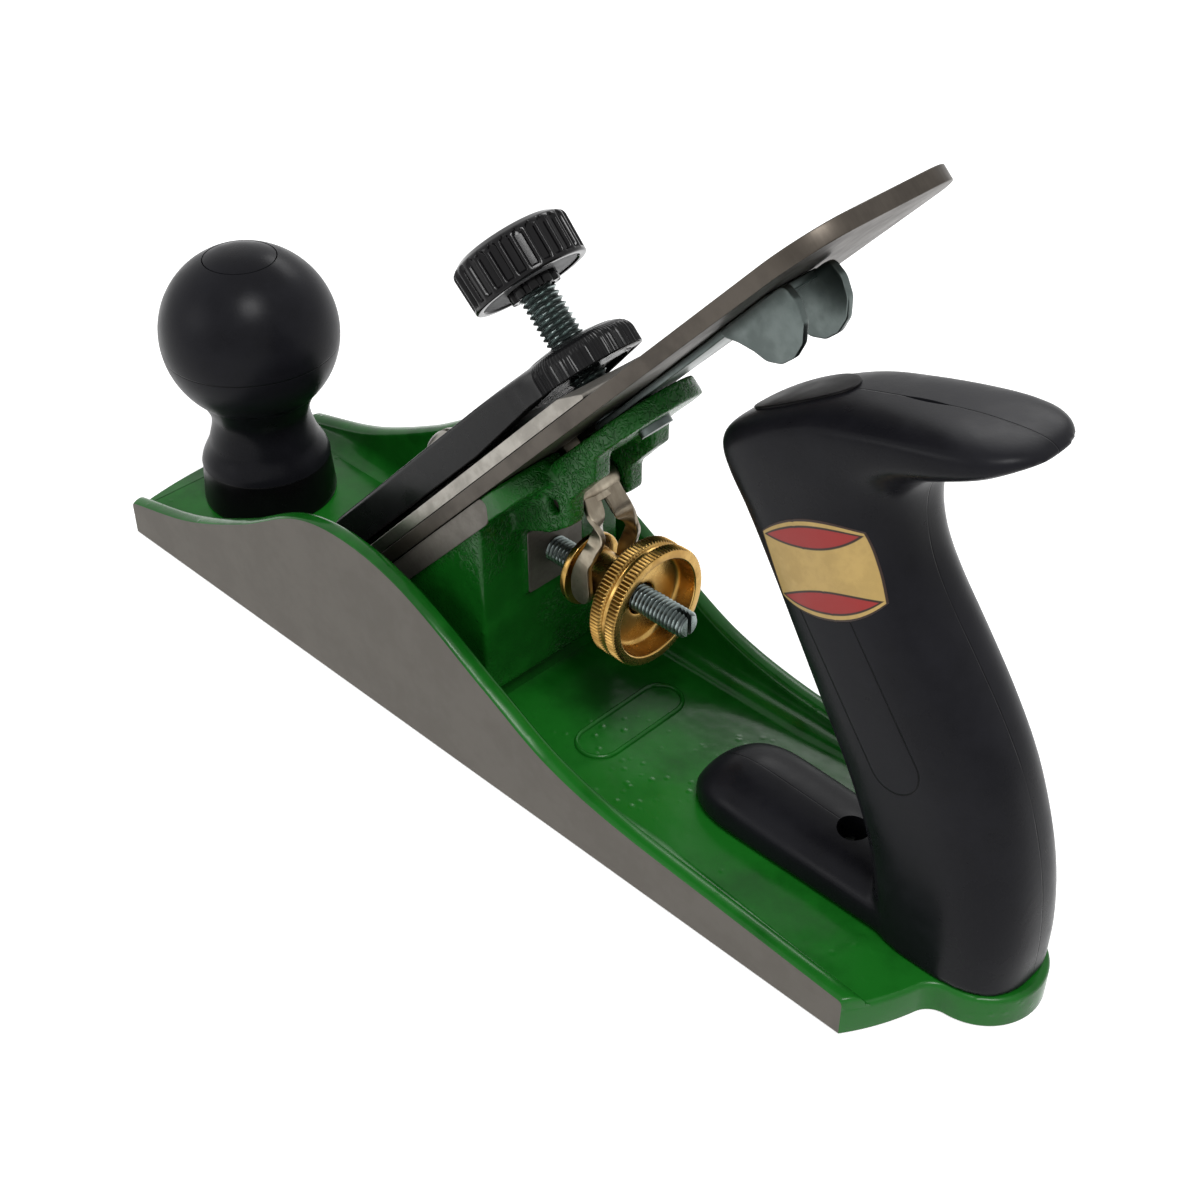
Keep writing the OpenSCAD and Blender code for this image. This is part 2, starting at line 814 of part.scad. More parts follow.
module lever_cap() {
    color([0.09, 0.09, 0.1])
        on_bed()
            difference() {
                union() {
                    difference() {
                        translate([0, 0, lever_cap_lo])
                            linear_extrude(lever_cap_h)
                                lever_cap_plan(0);
                        translate([0, 0, lever_cap_lo - 1])
                            linear_extrude(lever_cap_h - top_t + 1)
                                difference() {
                                    lever_cap_plan(wall);
                                    translate([0, -lever_cap_w / 2])
                                        square([lever_cap_s0 + 9, lever_cap_w]);
                                }
                    }
                    // Raised pad round the keyhole
                    translate([0, 0, lever_cap_hi - 1])
                        linear_extrude(1 + key_pad)
                            slot_2d(cap_screw_s - key_slot - 10, cap_screw_s + 12, 20);
                    // Boss for the clamp screw and the ribs beside it
                    translate([clamp_s, 0, lever_cap_lo + 1])
                        cylinder(h = lever_cap_h - 1, r = 8);
                    for (y = [-11, 11])
                        translate([lever_cap_s0 + 5, y - 1, lever_cap_lo + 2])
                            cube([clamp_s - lever_cap_s0 - 12, 2, lever_cap_h - 3]);
                }
                // Slope down to the front edge
                upright(2 * lever_cap_w)
                    polygon([
                        [lever_cap_s0 - 5, lever_cap_lo + 1.2], [lever_cap_s0, lever_cap_lo + 1.2],
                        [lever_cap_s0 + 22, lever_cap_hi + EPS], [lever_cap_s0 - 5, lever_cap_hi + 4]
                    ]);
                // Edge eased down round the upper end
                intersection() {
                    translate([clamp_s, -lever_cap_w, lever_cap_hi - 4])
                        cube([lever_cap_w, 2 * lever_cap_w, 8]);
                    translate([clamp_s, 0, lever_cap_hi])
                        rotate_extrude($fn = 96)
                            polygon([[cap_end_r - 3.2, EPS], [cap_end_r - 1, -0.8],
                                [cap_end_r + 0.2, -2.2], [cap_end_r + 0.2, EPS]]);
                }
                // Keyhole: the wide end lies down the bed
                translate([0, 0, lever_cap_lo - 2])
                    linear_extrude(30) {
                        slot_2d(cap_screw_s - key_slot - 4, cap_screw_s + 3.6, 7.2);
                        translate([cap_screw_s - key_slot - 0.5, 0])
                            circle(r = 7.2);
                    }
                translate([clamp_s, 0, -5])
                    cylinder(h = 40, r = clamp_d / 2 + SNUG);
            }
}

module lever_cap_screw() {
    color([0.75, 0.75, 0.74])
        on_bed()
            translate([cap_screw_s, 0, 0]) {
                translate([0, 0, -13])
                    cylinder(h = 13 + lever_cap_hi + key_pad + SLIDE, r = lever_screw_r);
                translate([0, 0, lever_cap_hi + key_pad + SLIDE])
                    difference() {
                        cylinder(h = 3, r = 6.5);
                        translate([-8, -0.7, 1.6])
                            cube([16, 1.4, 3]);
                    }
            }
}

knob_lo = lever_cap_hi + 13.9;
star_h = 2.6;
module clamp_screw() {
    color([0.72, 0.76, 0.78])
        on_bed()
            translate([clamp_s, 0, cap_iron_top + SLIDE])
                cylinder(h = knob_lo + 6 - cap_iron_top - SLIDE, r = clamp_d / 2);
}

module clamp_knob() {
    rim_r = clamp_knob_d / 2;
    color([0.06, 0.06, 0.07])
        on_bed()
            translate([clamp_s, 0, knob_lo])
                difference() {
                    union() {
                        rotate_extrude($fn = 96)
                            polygon([
                                [0, 0.6], [rim_r - 1.6, 0.6], [rim_r - 1, 0], [rim_r - 0.2, 0.2],
                                [rim_r, 1.4], [rim_r, clamp_knob_h - 1.9], [rim_r - 0.7, clamp_knob_h - 0.6],
                                [rim_r - 2, clamp_knob_h], [0, clamp_knob_h]
                            ]);
                        translate([0, 0, 0.7 - star_h])
                            star(star_h);
                    }
                    for (k = [0 : flutes - 1])
                        rotate(360 * k / flutes)
                            translate([rim_r + 0.35, 0, 1])
                                cylinder(h = clamp_knob_h - 3.2, r = 1.05, $fn = 16);
                    translate([0, 0, -star_h - 1])
                        cylinder(h = star_h + 7, r = clamp_d / 2 + SNUG);
                }
}

// Notched hub under the knob
module star(height) {
    points = 10;
    difference() {
        cylinder(h = height, r = 5.6);
        for (k = [0 : points - 1])
            rotate(360 * k / points)
                translate([5.9, 0, -1])
                    cylinder(h = height + 2, r = 0.9, $fn = 16);
    }
}

// Front knob

ring_top = 18.2;
plug_r = 8.8;
waist_z = 31;
waist_r = 12.2;
plug_t = 2.6;
module front_knob() {
    ball_r = ball_d / 2;
    foot_r = knob_foot_d / 2;
    join_a = -43;
    join_r = ball_r * cos(join_a);
    join_z = ball_h + ball_r * sin(join_a);
    plug_z = ball_h + sqrt(ball_r * ball_r - plug_r * plug_r);
    flank = [[ring_top, foot_r], [ring_top + 1.6, foot_r - 0.5], [ring_top + 6, foot_r - 2.6],
        [waist_z, waist_r], [join_z - 1.6, join_r - 1.5], [join_z, join_r]];
    color([0.13, 0.13, 0.14])
        translate([knob_x, 0, 0])
            difference() {
                rotate_extrude($fn = 128)
                    polygon(concat(
                        [[0, ring_top]],
                        [for (k = [0 : 14])
                            let (z = ring_top + (join_z - ring_top) * k / 14) [curve(flank, z), z]],
                        [for (k = [1 : 24])
                            let (a = join_a + (acos(plug_r / ball_r) - join_a) * k / 24)
                                [ball_r * cos(a), ball_h + ball_r * sin(a)]],
                        [[0, plug_z]]
                    ));
                translate([0, 0, plug_z - plug_t])
                    cylinder(h = 10, r = plug_r);
                translate([0, 0, plug_z - 14])
                    cylinder(h = 20, r = 6.4);
                cylinder(h = 100, r = stud_m6_r + 0.2);
            }
}

module knob_plug() {
    ball_r = ball_d / 2;
    plug_z = ball_h + sqrt(ball_r * ball_r - plug_r * plug_r);
    color([0.1, 0.1, 0.11])
        translate([knob_x, 0, 0])
            rotate_extrude($fn = 64)
                polygon(concat(
                    [[0, plug_z - plug_t], [plug_r - SNUG, plug_z - plug_t]],
                    [for (k = [0 : 8])
                        let (r = (plug_r - SNUG) * (1 - k / 8)) [r, ball_h + sqrt(ball_r * ball_r - r * r)]]
                ));
}

module knob_ring() {
    foot_r = knob_foot_d / 2;
    color([0.07, 0.07, 0.075])
        translate([knob_x, 0, 0])
            rotate_extrude($fn = 96)
                polygon([
                    [9.1, floor_t], [foot_r + 0.5, floor_t], [foot_r + 0.6, floor_t + 1.2],
                    [foot_r - 0.2, ring_top], [stud_m6_r + 0.2, ring_top], [stud_m6_r + 0.2, floor_t + 3.1],
                    [9.1, floor_t + 3.1]
                ]);
}

knob_nut_z = ball_h + ball_d / 2 - 14;
module knob_stud() {
    color([0.7, 0.73, 0.75])
        translate([knob_x, 0, 2.2])
            cylinder(h = knob_nut_z + 6 - 2.2, r = stud_m6_r);
}

module knob_nut() {
    plug_z = ball_h + sqrt(pow(ball_d / 2, 2) - plug_r * plug_r);
    color([0.78, 0.62, 0.3])
        translate([knob_x, 0, plug_z - 14])
            difference() {
                cylinder(h = 8, r = 6);
                translate([0, 0, -1])
                    cylinder(h = 10, r = stud_m6_r + SNUG);
            }
}

// Rear handle

plug_x = 63.3;
plug_z = tote_h - 12;
plug_slope = 35;
tote_stud_x = 101;
tote_toe_x = 82.5;
tote_lean = atan((tote_stud_x - plug_x) / (plug_z - floor_t));
tote_run = (plug_z - floor_t) / cos(tote_lean);
nut_down = 13;
tote_bore_r = stud_m6_r + 0.4;

// Side view of the grip as pairs: front or top point, then rear or under point, then half width.
// Heights of the horn's points are given down from its top.
half_tote = tote_w / 2;
grip = [
    [[86, floor_t], [125.6, floor_t], half_tote - 0.4],
    [[86, 18], [125.6, 18], half_tote - 0.4],
    [[84.4, 29], [124.1, 30], half_tote - 0.6],
    [[80, 41], [121.2, 41], half_tote - 0.8],
    [[73.8, 53], [116.8, 52], half_tote - 0.8],
    [[67.4, 65], [110.8, 62], half_tote - 0.8],
    [[61.2, 77], [103.8, 71.5], half_tote - 0.8],
    [[55.4, 87], [97.2, 80], half_tote - 0.8],
    [[51.6, 93.8], [92.8, 87], half_tote - 0.6],
    [[50.4, tote_h - 20.6], [90.4, 93], half_tote - 0.3],
    [[53.8, tote_h - 15.6], [89.8, 98.2], half_tote],
    [[61, tote_h - 10.6], [91.2, 102.4], half_tote],
    [[70.2, tote_h - 6.4], [94.6, 105.2], half_tote],
    [[79.8, tote_h - 3.3], [98.6, 107.6], half_tote - 0.2],
    [[89, tote_h - 1.4], [102.6, 109.8], half_tote - 0.9],
    [[97.6, tote_h - 0.3], [106.4, 111.8], half_tote - 2.2],
    [[104.6, tote_h - 0.6], [109.2, 113.6], half_tote - 5],
    [[109, tote_h - 2.2], [110.8, 115], half_tote - 9]
];
// Top of the toe of the grip: place, height and half width
toe_grip = [
    [45.6, 9.6, 2.4], [46.6, 12, 5.2], [49, 15.2, 8], [53, 18, 10.6], [58, 19.9, 12.2],
    [64, 20.9, 12.8], [74, 21.4, 12.8], [96, 21.6, 12.6]
];

// Weight of four knots for a smooth curve between the middle two
function smooth(p0, p1, p2, p3, t) =
    p1 + t * (p2 - p0) / 2 + t * t * (p0 - 2.5 * p1 + 2 * p2 - p3 / 2)
    + pow(t, 3) * (-p0 / 2 + 1.5 * p1 - 1.5 * p2 + p3 / 2);
function knot(list, i, f) = let (c = list[min(max(i, 0), len(list) - 1)]) f == 0 ? c[0] : f == 1 ? c[1] : c[2];
function along(list, u, f) =
    let (i = min(floor(u), len(list) - 2))
    smooth(knot(list, i - 1, f), knot(list, i, f), knot(list, i + 1, f), knot(list, i + 2, f), u - i);

// Ring between a front and a rear point in the plane Y = 0, half wide and squarer at the front
function ring(front, rear, half, n_front, n_rear, sides) =
    let (mid = (front + rear) / 2, arm = (rear - front) / 2)
    [for (k = [0 : sides - 1])
        let (a = 360 * (k + 0.5) / sides, c = cos(a), s = sin(a), n = c < 0 ? n_front : n_rear,
            u = sign(c) * pow(abs(c), 2 / n), v = sign(s) * pow(abs(s), 2 / n))
        [mid[0] + arm[0] * u, half * v, mid[1] + arm[1] * u]];

// Closed skin over a list of rings
module skin(rings) {
    n = len(rings[0]);
    m = len(rings);
    points = [for (r = rings) each r];
    polyhedron(points, concat(
        [[for (k = [0 : n - 1]) k]],
        [for (i = [0 : m - 2]) for (k = [0 : n - 1])
            let (a = i * n + k, b = i * n + (k + 1) % n) each [[a, a + n, b], [b, a + n, b + n]]],
        [[for (k = [n - 1 : -1 : 0]) (m - 1) * n + k]]
    ));
}

grip_sides = 28;
module grip_skin() {
    steps = 2 * (len(grip) - 1);
    skin([for (i = [0 : steps])
        let (u = i / 2)
        ring(along(grip, u, 0), along(grip, u, 1), along(grip, u, 2), 3.4, 2.6, grip_sides)]);
}

module toe_skin() {
    steps = 2 * (len(toe_grip) - 1);
    skin([for (i = [0 : steps])
        let (u = i / 2, x = along(toe_grip, u, 0))
        ring([x, along(toe_grip, u, 1)], [x, floor_t], along(toe_grip, u, 2), 2.3, 9, grip_sides)]);
}

module tote() {
    color([0.13, 0.13, 0.14])
        difference() {
            union() {
                grip_skin();
                toe_skin();
            }
            tote_bores();
        }
}

// The long stud leans forward inside the grip, from the floor to the oval cap
module tote_axis() {
    translate([tote_stud_x, 0, floor_t])
        rotate([0, -tote_lean, 0])
            children();
}

module plug_place(up) {
    translate([plug_x, 0, plug_z])
        rotate([0, -plug_slope, 0])
            translate([0, 0, up])
                children();
}

plug_l = 23.6;
plug_w = 13.4;
plug_t2 = 3;
boss_up = 2.5;
module tote_bores() {
    translate([tote_stud_x, 0, floor_t - 1])
        cylinder(h = 1 + boss_up + 0.3, r = 5.8);
    tote_axis()
        cylinder(h = tote_run, r = tote_bore_r);
    tote_axis()
        translate([0, 0, tote_run - nut_down])
            cylinder(h = nut_down, r = 6.4);
    plug_place(-plug_t2)
        linear_extrude(20)
            polygon(egg(plug_l / 2, plug_w / 2, 2, 40));
    // Way for the toe screw and its driver
    translate([tote_toe_x, 0, floor_t - 1])
        cylinder(h = 20, r = stud_m6_r - 0.4);
    translate([tote_toe_x, 0, toe_seat])
        cylinder(h = 29 - toe_seat, r = 5);
}

module tote_stud() {
    color([0.7, 0.73, 0.75])
        difference() {
            tote_axis()
                translate([0, 0, -7])
                    cylinder(h = tote_run - nut_down + 7 + 5, r = stud_m6_r);
            translate([tote_stud_x - 20, -20, -2])
                cube([40, 40, 4]);
        }
}

module tote_nut() {
    color([0.78, 0.62, 0.3])
        tote_axis()
            translate([0, 0, tote_run - nut_down + SLIDE])
                difference() {
                    cylinder(h = 6, r = 6);
                    translate([0, 0, -1])
                        cylinder(h = 8, r = stud_m6_r + SNUG);
                }
}

module tote_plug() {
    color([0.1, 0.1, 0.11])
        plug_place(-plug_t2 + SLIDE)
            linear_extrude(plug_t2 + 0.4)
                polygon(egg(plug_l / 2 - 0.15, plug_w / 2 - 0.15, 2, 40));
}

toe_seat = 17;
toe_screw_r = 2.4;
module tote_toe_screw() {
    color([0.6, 0.6, 0.58])
        translate([tote_toe_x, 0, 2.4]) {
            cylinder(h = toe_seat + SLIDE - 2.4, r = toe_screw_r);
            translate([0, 0, toe_seat + SLIDE - 2.4])
                difference() {
                    cylinder(h = 3, r = 4.6);
                    translate([-5, -0.6, 1.6])
                        cube([10, 1.2, 3]);
                }
        }
}

body();
frog();
frog_screws();
frog_washers();
depth_stud();
depth_wheel();
yoke();
yoke_pin();
lateral_lever();
lateral_rivet();
lateral_roller();
iron();
cap_iron();
cap_iron_screw();
lever_cap();
lever_cap_screw();
clamp_screw();
clamp_knob();
knob_ring();
front_knob();
knob_stud();
knob_nut();
knob_plug();
tote();
tote_stud();
tote_nut();
tote_plug();
tote_toe_screw();
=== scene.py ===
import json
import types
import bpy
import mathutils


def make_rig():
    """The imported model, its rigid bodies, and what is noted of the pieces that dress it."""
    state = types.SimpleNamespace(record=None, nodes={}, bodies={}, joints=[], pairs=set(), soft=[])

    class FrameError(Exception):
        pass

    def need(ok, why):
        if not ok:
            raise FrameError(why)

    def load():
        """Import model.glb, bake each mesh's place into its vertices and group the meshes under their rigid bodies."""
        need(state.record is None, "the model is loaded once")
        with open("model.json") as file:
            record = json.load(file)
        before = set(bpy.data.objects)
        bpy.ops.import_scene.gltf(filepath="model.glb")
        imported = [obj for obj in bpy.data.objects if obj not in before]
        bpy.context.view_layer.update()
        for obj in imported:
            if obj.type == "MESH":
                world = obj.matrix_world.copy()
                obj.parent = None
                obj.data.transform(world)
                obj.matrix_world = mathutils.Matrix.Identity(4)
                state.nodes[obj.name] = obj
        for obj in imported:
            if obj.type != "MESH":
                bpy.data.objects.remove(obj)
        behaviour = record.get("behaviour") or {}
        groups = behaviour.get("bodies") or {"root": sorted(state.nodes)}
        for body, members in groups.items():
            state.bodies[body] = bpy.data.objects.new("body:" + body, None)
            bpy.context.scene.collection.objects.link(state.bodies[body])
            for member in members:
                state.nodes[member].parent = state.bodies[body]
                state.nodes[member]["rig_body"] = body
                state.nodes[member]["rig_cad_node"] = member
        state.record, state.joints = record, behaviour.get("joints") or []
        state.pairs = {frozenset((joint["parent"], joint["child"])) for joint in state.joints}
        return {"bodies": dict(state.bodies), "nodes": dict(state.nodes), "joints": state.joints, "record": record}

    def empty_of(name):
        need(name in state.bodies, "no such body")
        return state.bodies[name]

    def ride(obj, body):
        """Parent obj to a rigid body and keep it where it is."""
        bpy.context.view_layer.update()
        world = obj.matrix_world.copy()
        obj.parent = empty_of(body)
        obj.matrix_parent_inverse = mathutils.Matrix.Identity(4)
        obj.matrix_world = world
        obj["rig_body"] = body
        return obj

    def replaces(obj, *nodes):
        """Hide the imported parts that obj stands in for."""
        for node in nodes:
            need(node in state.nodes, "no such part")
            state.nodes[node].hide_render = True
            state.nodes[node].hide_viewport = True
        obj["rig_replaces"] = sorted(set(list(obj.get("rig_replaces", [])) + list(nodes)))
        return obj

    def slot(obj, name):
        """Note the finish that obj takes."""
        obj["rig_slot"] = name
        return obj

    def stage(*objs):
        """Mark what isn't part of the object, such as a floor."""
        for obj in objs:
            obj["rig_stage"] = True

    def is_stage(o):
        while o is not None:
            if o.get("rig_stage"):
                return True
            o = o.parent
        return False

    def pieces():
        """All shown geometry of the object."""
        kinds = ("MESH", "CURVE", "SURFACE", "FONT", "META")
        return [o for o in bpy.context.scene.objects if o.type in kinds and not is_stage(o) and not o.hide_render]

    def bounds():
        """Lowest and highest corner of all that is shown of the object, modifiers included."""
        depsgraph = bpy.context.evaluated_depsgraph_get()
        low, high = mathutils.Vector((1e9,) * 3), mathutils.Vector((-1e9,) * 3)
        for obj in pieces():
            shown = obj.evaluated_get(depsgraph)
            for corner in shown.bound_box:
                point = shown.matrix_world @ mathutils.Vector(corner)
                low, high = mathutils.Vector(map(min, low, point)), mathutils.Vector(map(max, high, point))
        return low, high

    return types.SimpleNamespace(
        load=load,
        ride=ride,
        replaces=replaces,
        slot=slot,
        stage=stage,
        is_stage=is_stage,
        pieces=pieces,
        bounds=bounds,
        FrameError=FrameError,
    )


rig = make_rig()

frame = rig.load()

import json
import math

import bmesh
import bpy
import numpy as np
from mathutils import Matrix

bl_info = {
    "name": "Smoothing plane",
    "version": (1, 0, 0),
    "blender": (4, 5, 0),
    "location": "View3D > Sidebar > Smoothing plane",
    "description": "Builds a bench smoothing plane around its packed solids",
    "category": "Add Mesh",
}

CAD_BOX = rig.bounds()
MM = 0.001

# Sizes of the solids that more than one piece needs, in millimetres
HALF_W = 30.0
CHEEK_T = 4.0
FLOOR = 7.0
SEAT_H = 12.0
TOE_TIP = -127.5
TOE_X, TOE_R = -123.5, 114.5
HEEL_X, HEEL_BULGE = 104.7, 9.5
HEEL_R = (HALF_W**2 + HEEL_BULGE**2) / (2 * HEEL_BULGE)
HEEL_C = HEEL_X + HEEL_BULGE - HEEL_R
TONGUE_X, TONGUE_R = 115.0, 12.5
BED_A = math.radians(46.3)
BED_X = -62.2
KNOB_X = -105.5
TOTE_STUD_X = 101.0
STUD_H = 42.3
YOKE_PIN = (10.905, 0, 63.617)
IRON_W, IRON_T, IRON_L = 42.0, 3.1, 202.6
CAP_TOP = 5.9
LEVER_LO, LEVER_HI = 7.6, 15.6
SCREW_S = 58.0
CLAMP_S = 114.0
CLAMP_LO = 29.5
PIVOT_S = 124.0
LEVER_REST = math.radians(5.5)


# ---- surfaces ----


def linear(red, green, blue):
    """A colour written in screen values from 0 to 255, as the scene's linear values."""
    c = np.array([red, green, blue]) / 255.0
    c = np.where(c <= 0.04045, c / 12.92, ((c + 0.055) / 1.055) ** 2.4)
    return tuple(float(v) for v in c)


def new_object(name, data):
    obj = bpy.data.objects.new(name, data)
    bpy.context.scene.collection.objects.link(obj)
    return obj


def add_mesh(name, points, faces, crease=38.0):
    """Puts points (n, 3) in millimetres and arrays of faces (m, k) into a new object.

    Doubles are merged, normals are turned outward, and edges sharper than crease degrees stay sharp."""
    mesh = bpy.data.meshes.new(name)
    corners = np.concatenate([f.ravel() for f in faces]).astype(np.int32)
    sizes = np.concatenate([np.full(len(f), f.shape[1]) for f in faces])
    mesh.vertices.add(len(points))
    mesh.vertices.foreach_set("co", (np.asarray(points) * MM).astype(np.float32).ravel())
    mesh.loops.add(len(corners))
    mesh.loops.foreach_set("vertex_index", corners)
    mesh.polygons.add(len(sizes))
    mesh.polygons.foreach_set("loop_start", np.concatenate([[0], np.cumsum(sizes)[:-1]]).astype(np.int32))
    mesh.update(calc_edges=True)
    obj = new_object(name, mesh)
    clean(obj, crease)
    return obj


def clean(obj, crease=38.0):
    """Merges doubles, turns the faces outward and sets smooth shading with sharp creases."""
    bm = bmesh.new()
    bm.from_mesh(obj.data)
    bmesh.ops.remove_doubles(bm, verts=bm.verts, dist=1e-6)
    bmesh.ops.dissolve_degenerate(bm, edges=bm.edges, dist=1e-8)
    bmesh.ops.recalc_face_normals(bm, faces=bm.faces)
    bm.to_mesh(obj.data)
    bm.free()
    soften(obj, crease)


def soften(obj, crease):
    """Smooth shading, with edges sharper than crease degrees left sharp."""
    mesh = obj.data
    mesh.polygons.foreach_set("use_smooth", np.ones(len(mesh.polygons), bool))
    mesh.set_sharp_from_angle(angle=math.radians(crease))
    mesh.update()


def skin_faces(rows, cols, start=0):
    """Quads between neighbouring rings of cols points each, closed round, with one flat face on each end."""
    i = np.arange(rows - 1)[:, None] * cols
    k = np.arange(cols)[None, :]
    k2 = (k + 1) % cols
    quads = np.stack([i + k, i + k2, i + cols + k2, i + cols + k], -1).reshape(-1, 4) + start
    ends = np.stack([np.arange(cols)[::-1], (rows - 1) * cols + np.arange(cols)]) + start
    return [quads, ends]


def loft(name, rings, **kw):
    """Closed skin over rings (m, n, 3)."""
    return add_mesh(name, rings.reshape(-1, 3), skin_faces(*rings.shape[:2]), **kw)


def lofts(name, parts, **kw):
    """Several closed skins in one mesh."""
    points, faces, start = [], [], 0
    for rings in parts:
        points.append(rings.reshape(-1, 3))
        faces += skin_faces(*rings.shape[:2], start)
        start += rings.shape[0] * rings.shape[1]
    return add_mesh(name, np.concatenate(points), faces, **kw)


def ring_loft(name, rings, crease=38.0):
    """Closed skin over rings (m, n, 3) of which the last joins the first, as on a turned piece with a bore."""
    rings = np.concatenate([rings, rings[:1]])
    return add_mesh(name, rings.reshape(-1, 3), skin_faces(*rings.shape[:2])[:1], crease)


def around(path, radii, steps=6, closed=True):
    """A path (n, 2) with each corner replaced by an arc of the given radius.

    The arc starts and ends on the two sides at radius / tan(half the corner's angle), and it is cut to fit them."""
    path = np.asarray(path, float)
    n = len(path)
    radii = np.broadcast_to(np.asarray(radii, float), (n,))
    out = []
    for i in range(n):
        if radii[i] <= 0 or (not closed and i in (0, n - 1)):
            out.append(path[i : i + 1])
            continue
        a, b, c = path[i - 1], path[i], path[(i + 1) % n]
        u, v = a - b, c - b
        lu, lv = np.hypot(*u), np.hypot(*v)
        u, v = u / lu, v / lv
        half = math.acos(np.clip(u @ v, -1, 1)) / 2
        if half > math.pi / 2 - 1e-3:
            out.append(path[i : i + 1])
            continue
        reach = min(radii[i] / math.tan(half), 0.49 * lu, 0.49 * lv)
        r = reach * math.tan(half)
        mid = b + (u + v) / np.hypot(*(u + v)) * r / math.sin(half)
        p, q = b + u * reach - mid, b + v * reach - mid
        a0 = math.atan2(p[1], p[0])
        turn = (math.atan2(q[1], q[0]) - a0 + math.pi) % (2 * math.pi) - math.pi
        t = a0 + turn * np.linspace(0, 1, steps + 1)
        out.append(mid + r * np.stack([np.cos(t), np.sin(t)], -1))
    return np.concatenate(out)


def dense(path, step, closed=True):
    """The path with points added so that none of its sides is longer than step."""
    path = np.asarray(path, float)
    nxt = np.roll(path, -1, 0) if closed else path[1:]
    cur = path if closed else path[:-1]
    out = [
        a + (b - a) * np.arange(k)[:, None] / k
        for a, b, k in zip(cur, nxt, np.maximum(1, np.ceil(np.hypot(*(nxt - cur).T) / step)).astype(int))
    ]
    return np.concatenate(out + ([] if closed else [path[-1:]]))


def inward(outline, depth):
    """The closed outline (n, 2) moved inward by depth along the mean normal of each point's two sides."""
    fore = np.roll(outline, -1, 0) - outline
    back = outline - np.roll(outline, 1, 0)
    fore /= np.maximum(np.hypot(*fore.T), 1e-9)[:, None]
    back /= np.maximum(np.hypot(*back.T), 1e-9)[:, None]
    side = fore + back
    side /= np.maximum(np.hypot(*side.T), 1e-9)[:, None]
    normal = np.stack([-side[:, 1], side[:, 0]], -1)
    area = 0.5 * np.sum(outline[:, 0] * np.roll(outline[:, 1], -1) - outline[:, 1] * np.roll(outline[:, 0], -1))
    stretch = np.maximum(np.sum(normal * np.stack([-fore[:, 1], fore[:, 0]], -1), 1), 0.5)[:, None]
    return outline + normal / stretch * depth * (1 if area > 0 else -1)


def slab(outline, low, high, edge=0.3, low_edge=None, steps=4):
    """Rings of a plate with rounded rims: the outline moves in by a quarter circle at top and bottom.

    edge is the upper quarter circle's radius, and low_edge the lower one's where it differs."""
    low_edge = edge if low_edge is None else low_edge
    rings = []
    for r, z, way in ((low_edge, low, 1), (edge, high, -1)):
        t = np.linspace(0, math.pi / 2, steps + 1) if r > 0 else np.zeros(1)
        for a in t if way > 0 else t[::-1]:
            height = z + way * r * (1 - math.cos(a))
            flat = inward(outline, r * (1 - math.sin(a)))
            rings.append(np.column_stack([flat, np.full(len(flat), height)]))
    return np.stack(rings)


def turned(profile, sides, axis_point=(0, 0), squeeze=None):
    """Rings of a turned solid: profile (n, 2) of radius and height, turned round Z at axis_point.

    squeeze(angle, radius, height) gives a change of radius."""
    profile = np.asarray(profile, float)
    a = np.arange(sides) / sides * 2 * math.pi
    r = np.repeat(profile[:, :1], sides, 1)
    z = np.repeat(profile[:, 1:], sides, 1)
    if squeeze is not None:
        r = np.maximum(r + squeeze(a[None, :], r, z), 0)
    return np.stack([axis_point[0] + r * np.cos(a), axis_point[1] + r * np.sin(a), z], -1)


def rod(radius, low, high, sides=48, axis_point=(0, 0), edge=0.0):
    """Rings of a cylinder along Z with its rims rounded by edge."""
    path = around([(0, low), (radius, low), (radius, high), (0, high)], [0, edge, edge, 0], 3)
    return turned(path, sides, axis_point)


def thread(radius, low, high, pitch, depth, hand=1, chamfer=0.8):
    """Rings of a threaded rod along Z: the radius falls by depth times a triangle wave of height / pitch less turns.

    The rod ends in cones of the given chamfer."""
    sides = 40
    z = np.linspace(low, high, int((high - low) / pitch * 8) + 1)
    a = np.arange(sides) / sides * 2 * math.pi
    turns = z[:, None] / pitch - hand * a[None, :] / (2 * math.pi)
    wave = np.abs((turns % 1.0) * 2 - 1)
    r = radius - depth * np.clip(wave * 1.25 - 0.12, 0, 1)
    limit = radius - np.clip(np.maximum(chamfer - (high - z), chamfer - (z - low)), 0, chamfer)
    r = np.minimum(r, limit[:, None])
    return np.stack([r * np.cos(a), r * np.sin(a), np.repeat(z[:, None], sides, 1)], -1)


def along_x(rings):
    """Turns a solid about Z into one about the adjuster's axis, which runs along X."""
    return rings[..., [2, 1, 0]] * [1, -1, 1] + [0, 0, STUD_H]


def on_bed(rings):
    """Points given up the bed, across it and off it, in the plane's own axes."""
    s, y, t = rings[..., 0], rings[..., 1], rings[..., 2]
    return np.stack(
        [BED_X + s * math.cos(BED_A) - t * math.sin(BED_A), y, s * math.sin(BED_A) + t * math.cos(BED_A)], -1
    )


def off_bed(points):
    """The bed coordinates of points given in the plane's own axes."""
    x, z = points[..., 0] - BED_X, points[..., 2]
    return np.stack(
        [x * math.cos(BED_A) + z * math.sin(BED_A), points[..., 1], -x * math.sin(BED_A) + z * math.cos(BED_A)], -1
    )


def capsule(x0, x1, width, steps=16):
    """Outline of a slot with round ends along X, anticlockwise."""
    r = width / 2
    t = np.linspace(-math.pi / 2, math.pi / 2, steps + 1)
    right = np.stack([x1 - r + r * np.cos(t), r * np.sin(t)], -1)
    left = np.stack([x0 + r - r * np.cos(t), -r * np.sin(t)], -1)
    return np.concatenate([right, left])


